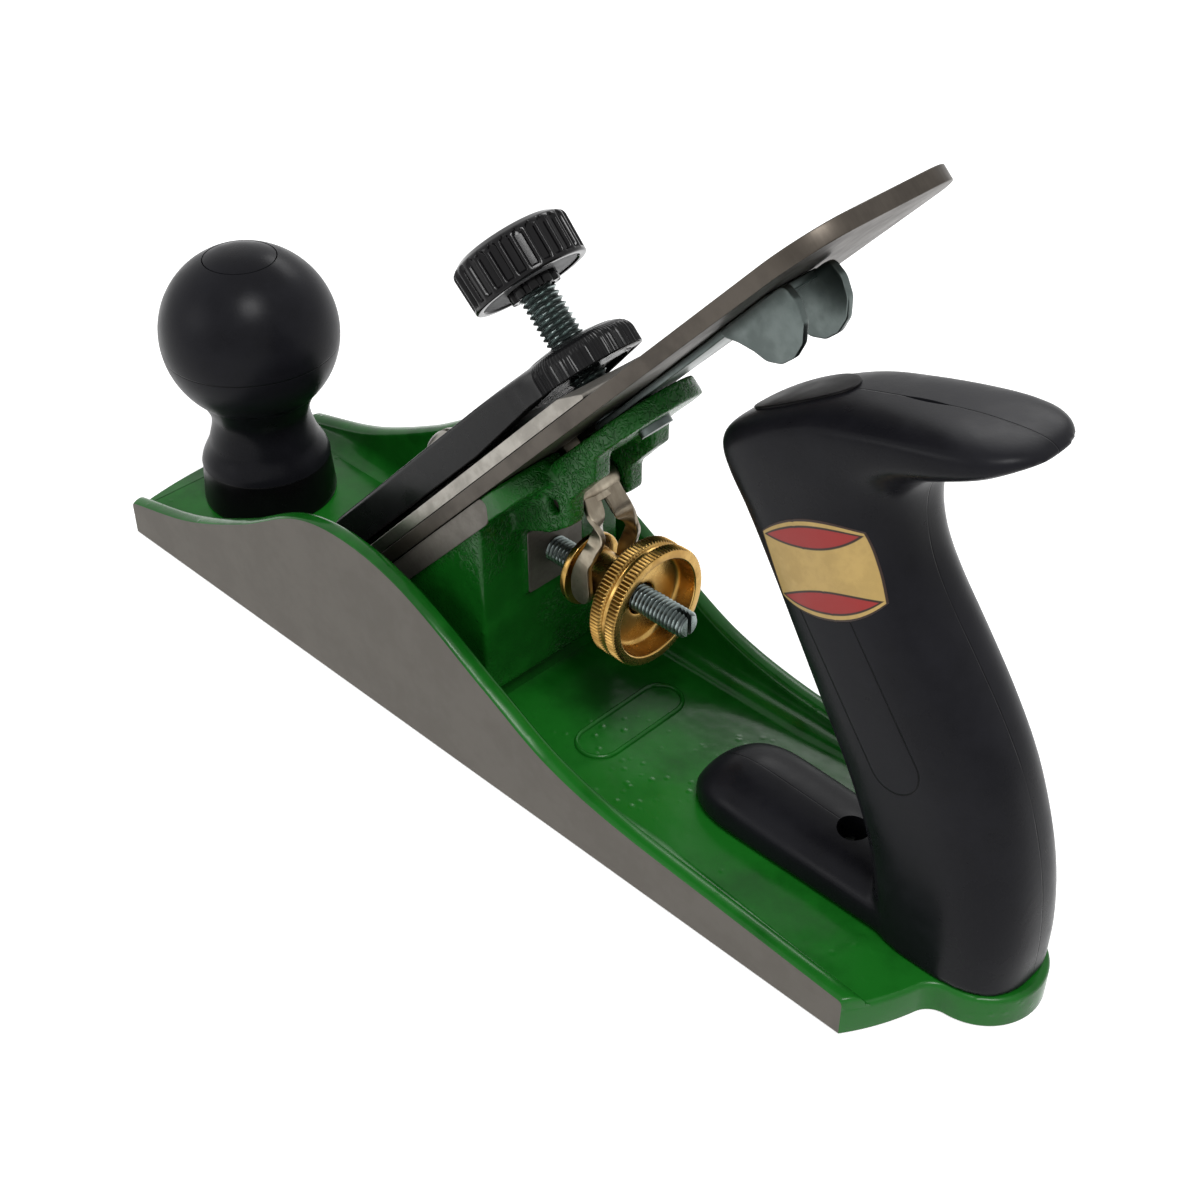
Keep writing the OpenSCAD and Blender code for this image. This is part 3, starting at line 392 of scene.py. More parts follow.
def curve(knots, x):
    """Smooth line through knots (n, 2): a cubic in each gap, with the neighbours' slope at each knot."""
    knots = np.asarray(knots, float)
    kx, ky = knots.T
    m = np.gradient(ky, kx)
    m[1:-1] = (ky[2:] - ky[:-2]) / (kx[2:] - kx[:-2])
    i = np.clip(np.searchsorted(kx, x) - 1, 0, len(kx) - 2)
    w = kx[i + 1] - kx[i]
    t = (x - kx[i]) / w
    return (
        ky[i] * (2 * t**3 - 3 * t**2 + 1)
        + ky[i + 1] * (3 * t**2 - 2 * t**3)
        + w * (m[i] * (t**3 - 2 * t**2 + t) + m[i + 1] * (t**3 - t**2))
    )


def glide(stations, u):
    """Smooth line through evenly numbered stations (n, k) at places u: the middle of four knots' cubic."""
    s = np.asarray(stations, float)
    i = np.clip(np.floor(u).astype(int), 0, len(s) - 2)
    t = (u - i)[:, None]
    p0, p1, p2, p3 = (s[np.clip(i + k, 0, len(s) - 1)] for k in (-1, 0, 1, 2))
    return (
        p1
        + t * (p2 - p0) / 2
        + t**2 * (p0 - 2.5 * p1 + 2 * p2 - p3 / 2)
        + t**3 * (-p0 / 2 + 1.5 * p1 - 1.5 * p2 + p3 / 2)
    )


def bake(obj):
    """Applies the object's modifiers to its mesh."""
    ready = obj.evaluated_get(bpy.context.evaluated_depsgraph_get())
    mesh = bpy.data.meshes.new_from_object(ready)
    obj.modifiers.clear()
    old = obj.data
    obj.data = mesh
    mesh.name = obj.name
    bpy.data.meshes.remove(old)


def remake(obj, grain, rounds):
    """Remakes a skin in even faces of the size grain, and relaxes it so that its edges round over."""
    even = obj.modifiers.new("Even", "REMESH")
    even.mode = "VOXEL"
    even.voxel_size = grain
    relax = obj.modifiers.new("Relax", "SMOOTH")
    relax.factor = 0.5
    relax.iterations = rounds
    bake(obj)


def cut(obj, cutter, crease=38.0):
    """Takes the cutter's solid away from obj and deletes the cutter."""
    tool = obj.modifiers.new("Cut", "BOOLEAN")
    tool.object = cutter
    tool.operation = "DIFFERENCE"
    tool.solver = "EXACT"
    bake(obj)
    bpy.data.objects.remove(cutter)
    soften(obj, crease)


def face_mark(obj, name, mask):
    """Writes one value per face for the materials to read."""
    layer = obj.data.attributes.new(name, "FLOAT", "FACE")
    layer.data.foreach_set("value", np.asarray(mask, np.float32))


def face_data(obj):
    """Centres and normals of the faces, in millimetres."""
    mesh = obj.data
    mid = np.zeros(len(mesh.polygons) * 3, np.float32)
    normal = np.zeros_like(mid)
    mesh.polygons.foreach_get("center", mid)
    mesh.polygons.foreach_get("normal", normal)
    return mid.reshape(-1, 3) / MM, normal.reshape(-1, 3)


def mark_painted_shade(obj, depth_of):
    """Writes how deep each point lies in a groove: depth_of takes the points in millimetres and gives 0 to 1.

    Points deeper than the groove, such as those of an end face, count as outside it."""
    co = np.zeros(len(obj.data.vertices) * 3, np.float32)
    obj.data.vertices.foreach_get("co", co)
    depth = depth_of(co.reshape(-1, 3) / MM)
    layer = obj.data.attributes.new("hollow", "FLOAT", "POINT")
    layer.data.foreach_set("value", np.where(depth > 1.2, 0, np.clip(depth, 0, 1)).astype(np.float32))


def finish_piece(obj, material, body, slot, *nodes):
    """Gives a piece its material, its body, its finish slot and the solids that it stands for."""
    obj.data.materials.clear()
    obj.data.materials.append(material)
    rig.ride(obj, body)
    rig.slot(obj, slot)
    for node in nodes:
        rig.replaces(obj, node)
    return obj


def dress(node, material):
    """Gives a solid of the frame a finished material."""
    obj = frame["nodes"][node]
    for spot in obj.material_slots:
        spot.material = material
    if not obj.material_slots:
        obj.data.materials.append(material)


# ---- effects shared by the materials ----


class Nodes:
    """Short calls for adding and joining nodes in one tree."""

    def __init__(self, tree):
        self.tree = tree

    def add(self, kind, inputs=None, **settings):
        node = self.tree.nodes.new(kind)
        for key, value in settings.items():
            setattr(node, key, value)
        for key, value in (inputs or {}).items():
            self.feed(node.inputs[key], value)
        return node

    def feed(self, socket, value):
        """Joins an input to another node's output, or sets its value."""
        if isinstance(value, bpy.types.NodeSocket):
            self.tree.links.new(value, socket)
        else:
            socket.default_value = value

    def math(self, operation, a, b=0.0):
        return self.add("ShaderNodeMath", {0: a, 1: b}, operation=operation).outputs[0]

    def times(self, a, b):
        return self.math("MULTIPLY", a, b)

    def plus(self, a, b):
        return self.math("ADD", a, b)

    def less(self, a, b):
        return self.math("SUBTRACT", a, b)

    def vector(self, operation, a, b, output="Vector"):
        return self.add("ShaderNodeVectorMath", {0: a, 1: b}, operation=operation).outputs[output]

    def axes(self, place):
        return self.add("ShaderNodeSeparateXYZ", {0: place}).outputs

    def stored(self, name, output="Fac"):
        """A value that the mesh holds under the given name."""
        return self.add("ShaderNodeAttribute", attribute_name=name).outputs[output]

    def ramp(self, value, low, high, from_low=0.0, from_high=1.0, smooth=False):
        kind = "SMOOTHSTEP" if smooth else "LINEAR"
        return self.add(
            "ShaderNodeMapRange",
            {"Value": value, "From Min": from_low, "From Max": from_high, "To Min": low, "To Max": high},
            interpolation_type=kind,
        ).outputs[0]

    def mix(self, share, a, b):
        a, b = (c if isinstance(c, bpy.types.NodeSocket) else (*c, 1.0) for c in (a, b))
        return self.add("ShaderNodeMix", {0: share, 6: a, 7: b}, data_type="RGBA").outputs[2]

    def noise(self, vector, scale, detail=3.0, rough=0.55):
        return self.add(
            "ShaderNodeTexNoise",
            {"Vector": vector, "Scale": scale, "Detail": detail, "Roughness": rough},
        ).outputs[0]


def group(name, inputs, outputs, build):
    """A node group with the given sockets, made once: build(nodes, inputs) returns what goes to the outputs."""
    if name in bpy.data.node_groups:
        return bpy.data.node_groups[name]
    tree = bpy.data.node_groups.new(name, "ShaderNodeTree")
    for label, kind, value in inputs:
        socket = tree.interface.new_socket(label, in_out="INPUT", socket_type=kind)
        if value is not None:
            socket.default_value = value
    for label, kind in outputs:
        tree.interface.new_socket(label, in_out="OUTPUT", socket_type=kind)
    nodes = Nodes(tree)
    source = nodes.add("NodeGroupInput")
    target = nodes.add("NodeGroupOutput")
    for socket, value in zip(target.inputs, build(nodes, source.outputs)):
        tree.links.new(value, socket)
    return tree


def mottle_group():
    """Two scales of noise, laid over each other and cut between two levels: a soft patchy mask."""

    def build(n, i):
        coarse = n.noise(i["Vector"], i["Scale"], 2.0)
        finer = n.noise(i["Vector"], n.times(i["Scale"], 5.3), 4.0)
        both = n.plus(n.times(coarse, 0.65), n.times(finer, 0.35))
        return [n.ramp(both, 0.0, 1.0, 0.38, 0.62, smooth=True)]

    return group(
        "Mottle",
        [("Vector", "NodeSocketVector", None), ("Scale", "NodeSocketFloat", 60.0)],
        [("Mask", "NodeSocketFloat")],
        build,
    )


def scratch_group():
    """Noise stretched a hundredfold along one axis, so that it reads as fine parallel marks."""

    def build(n, i):
        stretched = n.vector("MULTIPLY", i["Vector"], i["Stretch"])
        fine = n.noise(stretched, 1.0, 4.0, 0.6)
        broad = n.noise(stretched, 0.3, 2.0)
        return [n.plus(n.times(fine, 0.7), n.times(broad, 0.3))]

    return group(
        "Fine marks",
        [("Vector", "NodeSocketVector", None), ("Stretch", "NodeSocketVector", (40.0, 4000.0, 4000.0))],
        [("Mask", "NodeSocketFloat")],
        build,
    )


def pimple_group():
    """Small round grains: one less the distance to scattered points, kept close to them and thinned by noise."""

    def build(n, i):
        cells = n.add("ShaderNodeTexVoronoi", {"Vector": i["Vector"], "Scale": i["Scale"]}).outputs["Distance"]
        dots = n.ramp(cells, 1.0, 0.0, 0.0, 0.32, smooth=True)
        where = n.ramp(n.noise(i["Vector"], n.times(i["Scale"], 0.21), 1.0), 0.0, 1.0, 0.52, 0.66)
        return [n.times(dots, where)]

    return group(
        "Pimples",
        [("Vector", "NodeSocketVector", None), ("Scale", "NodeSocketFloat", 400.0)],
        [("Height", "NodeSocketFloat")],
        build,
    )


def shader(name):
    """A new material: its nodes, its surface shader and the object's own coordinates."""
    mat = bpy.data.materials.new(name)
    mat.use_nodes = True
    mat.node_tree.nodes.clear()
    n = Nodes(mat.node_tree)
    out = n.add("ShaderNodeOutputMaterial")
    surface = n.add("ShaderNodeBsdfPrincipled")
    mat.node_tree.links.new(surface.outputs[0], out.inputs[0])
    place = n.add("ShaderNodeTexCoord").outputs["Object"]
    return mat, n, surface, place


def use(n, tree, **inputs):
    """Places a shared effect in a material."""
    return n.add("ShaderNodeGroup", inputs, node_tree=tree).outputs[0]


def dress_surface(n, surface, colour, rough, height, distance, **plain):
    """Feeds a surface its colour, its roughness and a height in metres times distance.

    plain holds the values that don't change over the surface."""
    relief = n.add("ShaderNodeBump", {"Height": height, "Distance": distance}).outputs[0]
    for socket, value in (("Base Color", colour), ("Roughness", rough), ("Normal", relief)):
        n.feed(surface.inputs[socket], value)
    for name, value in plain.items():
        n.feed(surface.inputs[{"metallic": "Metallic", "specular": "Specular IOR Level"}[name]], value)


def dim(colour, share):
    """A darker tone of a colour."""
    return tuple(c * share for c in colour)


def metal(name, light, dark, rough, stretch=(300.0, 300.0, 300.0), patch=70.0, relief=4e-6, metallic=1.0):
    """Bare metal: two tones mixed by patches and fine marks, which also change the roughness and a low relief.

    A piece with a point value named hollow is darker and duller where it is high, as in a thread's groove."""
    mat, n, s, place = shader(name)
    marks = use(n, scratch_group(), Vector=place, Stretch=stretch)
    patches = use(n, mottle_group(), Vector=place, Scale=patch)
    share = n.plus(n.times(marks, 0.6), n.times(patches, 0.4))
    hollow = n.stored("hollow")
    # painted shade: where the point value hollow is high, the tone goes towards a tenth of the dark tone
    tone = n.mix(n.times(hollow, 0.85), n.mix(share, dark, light), dim(dark, 0.1))
    worn = n.ramp(share, rough + 0.12, rough - 0.08)
    dress_surface(n, s, tone, n.plus(worn, n.times(hollow, 0.25)), marks, relief, metallic=metallic)
    return mat


def plastic(name, tone, rough, grain=900.0, relief=8e-6, specular=0.3, lines=None):
    """Moulded black plastic: a slight change of tone and shine in patches, and a very fine grain.

    lines(nodes, place) may give a mask of fine grooves, which are darker and sunk."""
    mat, n, s, place = shader(name)
    patches = use(n, mottle_group(), Vector=place, Scale=45.0)
    colour = n.mix(patches, dim(tone, 0.75), tone)
    height = n.times(n.noise(place, grain, 3.0), relief)
    if lines is not None:
        groove = lines(n, place)
        colour = n.mix(groove, colour, dim(tone, 0.12))
        height = n.less(height, n.times(groove, 8e-5))
    dress_surface(n, s, colour, n.ramp(patches, rough - 0.05, rough + 0.06), height, 1.0, specular=specular)
    return mat


def enamel(name, colours, rough_cast=False):
    """Thick green enamel over a casting: deep and bright green in patches, grains and runs in the paint.

    Faces marked ground are bare machined iron instead. A rough casting has wrinkles and pits under the paint."""
    mat, n, s, place = shader(name)
    ground = n.stored("ground")
    patches = use(n, mottle_group(), Vector=place, Scale=26.0)
    fine = n.noise(place, 2600.0, 5.0, 0.7)
    green = n.mix(patches, colours.deep_green, colours.green)
    marks = use(n, scratch_group(), Vector=place, Stretch=(90.0, 1500.0, 900.0))
    clouds = use(n, mottle_group(), Vector=place, Scale=80.0)
    iron_tone = n.plus(n.times(fine, 0.6), n.times(clouds, 0.25))
    iron = n.mix(iron_tone, colours.dark_iron, colours.ground_iron)
    paint_rough = n.ramp(patches, 0.16, 0.26)
    iron_rough = n.ramp(fine, 0.5, 0.68)
    rough = n.add("ShaderNodeMix", {0: ground, 2: paint_rough, 3: iron_rough}, data_type="FLOAT").outputs[0]
    pimples = use(n, pimple_group(), Vector=place, Scale=330.0)
    runs = n.noise(place, 110.0, 2.0)
    height = n.plus(n.times(pimples, 0.45), n.times(runs, 0.8))
    if rough_cast:
        bent = n.add("ShaderNodeTexNoise", {"Vector": place, "Scale": 620.0, "Detail": 2.0, "Distortion": 0.9})
        fold = n.math("ABSOLUTE", n.less(bent.outputs[0], 0.5))
        worms = n.ramp(fold, 0.0, 1.0, 0.0, 0.1, smooth=True)
        area = n.ramp(n.noise(place, 38.0, 1.0), 0.1, 1.0, 0.42, 0.56, smooth=True)
        height = n.plus(height, n.times(n.times(worms, 0.75), area))
    height = n.plus(n.times(height, n.less(1.0, ground)), n.times(n.times(marks, 0.03), ground))
    dress_surface(n, s, n.mix(ground, green, iron), rough, height, 2.2e-4,
                  metallic=n.times(ground, 0.55), specular=0.2)
    return mat


def brass_finish(colours):
    """Turned brass: rings about the adjuster's axis, warmer and darker in the hollows and patches."""
    mat, n, s, place = shader("turned_brass")
    rings = n.noise(n.add("ShaderNodeCombineXYZ", {0: n.axes(place)[0]}).outputs[0], 9000.0, 2.0)
    patches = use(n, mottle_group(), Vector=place, Scale=110.0)
    share = n.plus(n.times(rings, 0.3), n.times(patches, 0.7))
    hollow = n.stored("hollow")
    tone = n.mix(share, colours.dark_brass, colours.brass)
    # painted shade in the knurl's hollows: the tone goes towards a dark, warm brown where hollow is high
    tone = n.mix(n.times(hollow, 0.85), tone, dim(colours.dark_brass, 0.14))
    dress_surface(n, s, tone, n.ramp(share, 0.34, 0.22), rings, 6e-6, metallic=1.0)
    return mat


# ---- sole casting ----


def toe_line(y):
    """The toe's arc: where the casting starts at each y."""
    return TOE_TIP + TOE_R - np.sqrt(TOE_R**2 - y**2)


def heel_line(y):
    """The heel's arc: where the casting ends at each y, without its tongue."""
    return HEEL_C + np.sqrt(HEEL_R**2 - y**2)


# Height of the cheeks' wavy rim along X
CHEEK_KNOTS = [
    (TOE_X - 1, 8.9), (TOE_X, 9.2), (TOE_X + 26, 16.4), (TOE_X + 50, 27.4), (TOE_X + 72, 39.8),
    (TOE_X + 89, 42.6), (TOE_X + 108, 39), (TOE_X + 133, 26.4), (TOE_X + 150, 18),
    (TOE_X + 168, 13.8), (TOE_X + 198, 11.3), (HEEL_X + 1, 9),
]


def cheek_rings(sizes):
    """One cheek, carried from toe to heel.

    Its section goes up the ground outer wall, over a painted rim that is a quarter ellipse on either side of
    its crown, down the inner wall and out along a cove to the floor. Each point of the section starts on the
    toe's arc and ends on the heel's, and the rim drops by a quarter circle over the last millimetre of each end."""
    rim, cove = sizes.rim_round / MM, sizes.cove_radius / MM
    u = np.sort(np.concatenate([np.linspace(0, 1, 190), [0.0008, 0.002, 0.0035, 0.9965, 0.998, 0.9992]]))
    t = np.linspace(0, math.pi / 2, 7)
    over = np.concatenate([CHEEK_T * 0.45 * (1 - np.cos(t)), CHEEK_T * 0.45 + CHEEK_T * 0.55 * np.sin(t[1:])])
    fall = np.concatenate([0.5 * (1 - np.sin(t)), rim * (1 - np.cos(t[1:]))])
    quarter = np.linspace(0, math.pi / 2, 9)[1:]
    rings = []
    for k in u:
        x_mid = toe_line(HALF_W) + k * (heel_line(HALF_W) - toe_line(HALF_W))
        h = float(curve(CHEEK_KNOTS, np.array([x_mid]))[0])
        end = min(k, 1 - k) * 228.0
        ease = 0.9 * (1 - math.sqrt(1 - (1 - min(end / 0.9, 1.0)) ** 2))
        room = max(h - FLOOR - rim - ease, 0.25)
        c = min(cove, room)
        wall_d = np.full(5, CHEEK_T)
        wall_z = np.linspace(h - rim - ease, FLOOR + c, 6)[1:]
        cove_d = CHEEK_T + c * (1 - np.cos(quarter))
        cove_z = FLOOR + 0.03 + c * (1 - np.sin(quarter))
        d = np.concatenate([[0.0, 0.0], over, wall_d, cove_d, [CHEEK_T + c + 0.6, CHEEK_T + c + 0.6]])
        z = np.concatenate([[0.02, max(h - 1.2 - ease, 2.0)], h - fall - ease, wall_z, cove_z, [FLOOR - 0.5, 0.02]])
        y = HALF_W - d
        x = toe_line(y) + 0.04 + k * (heel_line(y) - toe_line(y) - 0.08)
        rings.append(np.stack([x, -y, z], -1))
    return np.stack(rings)


def floor_outline():
    """Outline of the floor seen from above: the toe's arc, the straight sides, the heel's arc and its round tongue.

    Concave arcs of 5 mm join the heel's arc to the tongue."""
    side = HALF_W - 0.06
    y = side * np.sin(np.linspace(-math.pi / 2, math.pi / 2, 61))
    toe = np.stack([toe_line(y), y], -1)[::-1]
    fillet = 5.0
    gap, far, d = HEEL_R + fillet, TONGUE_R + fillet, TONGUE_X - HEEL_C
    along = (gap**2 - far**2 + d**2) / (2 * d)
    up = math.sqrt(gap**2 - along**2)
    mid = np.array([HEEL_C + along, up])
    heel_y = up * HEEL_R / gap
    yy = np.linspace(side, heel_y, 24)
    arc = np.stack([heel_line(yy), yy], -1)
    a0 = math.atan2(-up, -along)
    a1 = math.atan2(-up, TONGUE_X - mid[0])
    t = np.linspace(a0, a1, 12)[1:]
    hollow = mid + fillet * np.stack([np.cos(t), np.sin(t)], -1)
    b1 = math.atan2(up, mid[0] - TONGUE_X)
    t = np.linspace(b1, -b1, 60)[1:-1]
    tongue = np.array([TONGUE_X, 0]) + TONGUE_R * np.stack([np.cos(t), np.sin(t)], -1)
    half = np.concatenate([arc, hollow])
    heel = np.concatenate([half, tongue, half[::-1] * [1, -1]])[::-1]
    return np.concatenate([toe, heel])


def box_rings(low, high, edge, corner=None):
    """A block from its low to its high corner, with rounded upper rim and upright corners."""
    x0, y0, z0 = low
    x1, y1, z1 = high
    flat = around([(x0, y0), (x1, y0), (x1, y1), (x0, y1)], corner if corner is not None else edge, 5)
    return slab(flat, z0, z1, edge, 0.0)


def build_casting(sizes, colours):
    """The sole casting: the floor slab with its mouth, both cheeks, the seat, the step, the rib and the bosses."""
    green = enamel("green_enamel", colours)
    parts = [
        slab(floor_outline(), 0.0, FLOOR, 1.1, 0.0),
        box_rings((-49.6, -19.5, 1), (-3.0, 19.5, SEAT_H - 0.06), 0.5, 0.8),
        box_rings((-9, -25.9, 2), (3.2, 25.9, FLOOR + 2), 1.6),
        box_rings((-82.5, -25.8, 2), (-77.5, 25.8, FLOOR + 4), 1.8, 0.5),
        rod(9.0, 1, FLOOR + 3, 64, (KNOB_X, 0)),
        rod(5.5, 1, FLOOR + 2.5, 48, (TOTE_STUD_X, 0)),
    ]
    floor = lofts("casting_floor", parts)
    lip = (IRON_T + 1.2) / math.sin(BED_A)
    slope = 1 / math.tan(BED_A)
    mouth = np.array([
        (BED_X - lip, -1), (BED_X + 0.4, -1), (BED_X + 0.4 + 15 * slope, 15), (BED_X - lip - 7, 15),
        (BED_X - lip - 7, FLOOR - 0.5), (BED_X - lip, 2),
    ])
    wide = IRON_W / 2 + 1
    tool = loft(
        "mouth", np.stack([np.column_stack([mouth[:, 0], np.full(6, y), mouth[:, 1]]) for y in (-wide, wide)])
    )
    cut(floor, tool)
    mid, normal = face_data(floor)
    face_mark(floor, "ground", (normal[:, 2] < -0.9) & (mid[:, 2] < 0.05))
    finish_piece(floor, green, "root", "green_enamel", "body")

    near = cheek_rings(sizes)
    far = near * [1, -1, 1]
    cheeks = lofts("casting_cheeks", [near, far])
    mid, normal = face_data(cheeks)
    face_mark(cheeks, "ground", (np.abs(normal[:, 1]) > 0.98) & (np.abs(mid[:, 1]) > HALF_W - 0.05))
    finish_piece(cheeks, green, "root", "green_enamel", "body")

    outer, inner = (
        capsule(-half, half, width)[:, ::-1] * [-1, 1] + [22.5, 0] for half, width in ((15, 11), (13.9, 8.8))
    )
    band = (outer + inner) / 2
    across = outer - inner
    t = np.linspace(0, 2 * math.pi, 13)[:-1]
    ring = np.stack([
        np.column_stack([band + across * 0.5 * math.cos(a), np.full(len(band), FLOOR + 0.72 * math.sin(a))])
        for a in t
    ])
    finish_piece(ring_loft("floor_oval", ring), green, "root", "green_enamel", "body")


# ---- frog ----


def build_frog(sizes, colours):
    """The frog: its solid's own skin, remade in even small faces and relaxed so that edges and corners round
    over as a casting's do, with the machined pad and the ground strips of its foot laid on as plates."""
    green = enamel("cast_enamel", colours, rough_cast=True)
    frog = new_object("frog_casting", frame["nodes"]["frog"].data.copy())
    clean(frog)
    remake(frog, sizes.cast_grain, 7)
    soften(frog, 180)
    finish_piece(frog, green, "root", "green_enamel", "frog")

    iron = metal("dark_machined", colours.ground_iron, colours.dark_iron, 0.5, (900.0, 60.0, 900.0), 200.0,
                 metallic=0.7)
    pad = around([(-7.9, -8), (7.9, -8), (7.9, 7.6), (-7.9, 7.6)], 0.6, 4)
    plates = [slab(pad, -1.0, 0.1, 0.12)[..., [2, 0, 1]] + [0, 0, STUD_H]]
    flat = around([(14.5, -5.2), (88, -5.2), (92.6, -0.15), (16, -0.15)], [0.3, 3.5, 2.0, 0.3], 6)
    strip = slab(flat, 20.05, 20.55, 0.12)[..., [0, 2, 1]]
    plates += [on_bed(strip * [1, side, 1]) for side in (-1, 1)]
    finish_piece(lofts("frog_machined", plates), iron, "root", "green_enamel", "frog")


# ---- depth adjuster ----


def build_adjuster(sizes, colours):
    """Stud, wheel and yoke of the depth adjuster."""
    zinc = metal("zinc_thread", colours.zinc, colours.dark_zinc, 0.26, patch=150.0)
    stud = loft("adjuster_stud", along_x(thread(2.98, -10.8, 38.55, 1.0, 0.6, hand=-1, chamfer=0.7)), crease=30)
    cut(stud, loft("slot", box_rings((35.4, -0.6, STUD_H - 5), (40, 0.6, STUD_H + 5), 0)), 30)
    # painted shade in the thread's groove, darkest at its root
    mark_painted_shade(stud, lambda p: (2.9 - np.hypot(p[:, 1], p[:, 2] - STUD_H)) / 0.5)
    finish_piece(stud, zinc, "root", "zinc_steel", "depth_stud")

    brass = brass_finish(colours)
    r, x0, x1, band = 13.35, 23.25, 30.15, 2.5
    path = [
        (3.55, 9.65), (8.25, 9.65), (8.25, 11.15), (5.45, 11.15), (5.45, 18.35), (7.4, x0), (r, x0),
        (r, x0 + band), (r - 1.0, x0 + band + 0.55), (r - 1.0, x1 - band - 0.55), (r, x1 - band), (r, x1),
        (r - 2.3, x1), (r - 2.7, x0 + 2.1), (3.55, x0 + 2.1),
    ]
    radii = [0.2, 0.35, 0.35, 0.3, 0.8, 0.6, 0.5, 0.3, 0.2, 0.2, 0.3, 0.6, 0.35, 1.2, 0.3]
    profile = dense(around(path, radii, 4), 0.8)
    teeth = sizes.knurl_teeth

    def knurl(angle, radius, height):
        on_band = (radius > r - 0.35) & (np.abs(height - (x0 + x1) / 2) > (x1 - x0) / 2 - band - 0.1)
        edge = np.clip((radius - (r - 0.35)) / 0.3, 0, 1)
        wave = 0.5 + 0.5 * np.cos(angle * teeth)
        return -0.4 * (1 - wave) ** 1.2 * on_band * edge

    wheel = ring_loft("adjuster_wheel", along_x(turned(profile, teeth * 6, squeeze=knurl)), 34)

    def between_teeth(p):
        """Depth below the knurled bands' crests, on the bands alone."""
        off_middle = np.abs(p[:, 0] - (x0 + x1) / 2)
        on_band = (off_middle > (x1 - x0) / 2 - band - 0.1) & (off_middle < (x1 - x0) / 2 - 0.05)
        return (r - 0.08 - np.hypot(p[:, 1], p[:, 2] - STUD_H)) / 0.3 * on_band

    # painted shade between the knurl's teeth
    mark_painted_shade(wheel, between_teeth)
    finish_piece(wheel, brass, "wheel", "turned_brass", "depth_wheel")

    nickel = metal("nickel_sheet", colours.nickel, colours.dark_nickel, 0.3, (200.0, 900.0, 200.0), 120.0)
    build_yoke(nickel)
    dark = metal("dark_pin", colours.dark_blade, colours.dark_blade, 0.5)
    pin = loft("yoke_pin_short", rod(1.58, -9.2, 9.2, 32, edge=0.3)[..., [0, 2, 1]] + YOKE_PIN)
    finish_piece(pin, dark, "root", "zinc_steel", "yoke_pin")


def strap(centres, widths, wide, thick, thickness):
    """A bent sheet as rings of eight points: each ring stands at a centre, with a width along wide and a
    thickness along thick, and its corners are eased."""
    c, w, e, h = np.asarray(centres, float), np.asarray(widths, float)[:, None], 0.22, thickness / 2
    a, b = (v / np.linalg.norm(v, axis=1)[:, None] for v in (wide, thick))
    spots = [(-1, -1, e, 0), (1, -1, -e, 0), (1, -1, 0, e), (1, 1, 0, -e), (1, 1, -e, 0), (-1, 1, e, 0),
             (-1, 1, 0, -e), (-1, -1, 0, e)]
    return np.stack([c + a * (sw * w / 2 + de) + b * (sh * h + dh) for sw, sh, de, dh in spots], 1)


def build_yoke(material):
    """The yoke, bent from sheet: a finger up through the bed, a plate round the pin, and two legs that step
    outward and end in round paddles beside the wheel's hub."""
    parts = []
    keys = [
        (12.2, 3.0, 64.6, 4.2), (14.2, 3.0, 61.8, 4.6), (16.2, 3.6, 58.6, 4.4), (17.4, 4.8, 55.4, 3.8),
        (16.8, 6.2, 52.6, 3.4), (15.6, 6.7, 49.6, 3.6), (15.0, 6.75, 46.8, 4.6), (14.8, 6.75, 44.4, 5.3),
        (14.8, 6.75, 42.2, 5.3), (14.8, 6.75, 40.9, 4.7), (14.8, 6.75, 40.0, 3.3), (14.8, 6.75, 39.6, 1.4),
    ]
    line = glide(keys, np.linspace(0, len(keys) - 1, 46))
    for side in (-1, 1):
        centre = line[:, :3] * [1, side, 1]
        way = np.gradient(centre, axis=0)
        wide = np.tile([1.0, 0.0, 0.0], (len(line), 1))
        fade = np.clip((line[:, 2] - 55.0) / 5.0, 0, 1)[:, None]
        wide = wide * (1 - fade) + np.array([0.15, 1.0 * side, 0.0]) * fade
        thick = np.cross(way, wide)
        wide = np.cross(thick, way)
        parts.append(strap(centre, line[:, 3], wide, thick, 1.4))
    across = np.linspace(-4.6, 4.6, 15)
    fold = np.stack([12.9 - 0.03 * across**2, across, 63.4 + 0 * across], -1)
    down = np.tile([0.62, 0.0, -0.78], (15, 1))
    out = np.tile([0.78, 0.0, 0.62], (15, 1))
    parts.append(strap(fold, np.full(15, 4.6), down, out, 1.4))
    finger = around([(94.8, -8.6), (98.2, -8.6), (97.9, CAP_TOP - 0.6), (95.0, CAP_TOP - 0.6)], 0.9, 4)
    parts.append(on_bed(slab(finger, -2.15, 2.15, 0.25)[..., [0, 2, 1]]))
    parts.append(rod(3.1, -5.5, 5.5, 36, edge=0.3)[..., [0, 2, 1]] + YOKE_PIN)
    yoke = lofts("yoke_sheet", parts, crease=45)
    finish_piece(yoke, material, "yoke", "nickel_steel", "yoke")


# ---- lateral lever ----


def swung(rings):
    """Bed points turned about the lever's rivet by its rest angle."""
    s, y = rings[..., 0] - PIVOT_S, rings[..., 1]
    c, k = math.cos(LEVER_REST), -math.sin(LEVER_REST)
    return np.stack([PIVOT_S + s * c - y * k, s * k + y * c, rings[..., 2]], -1)


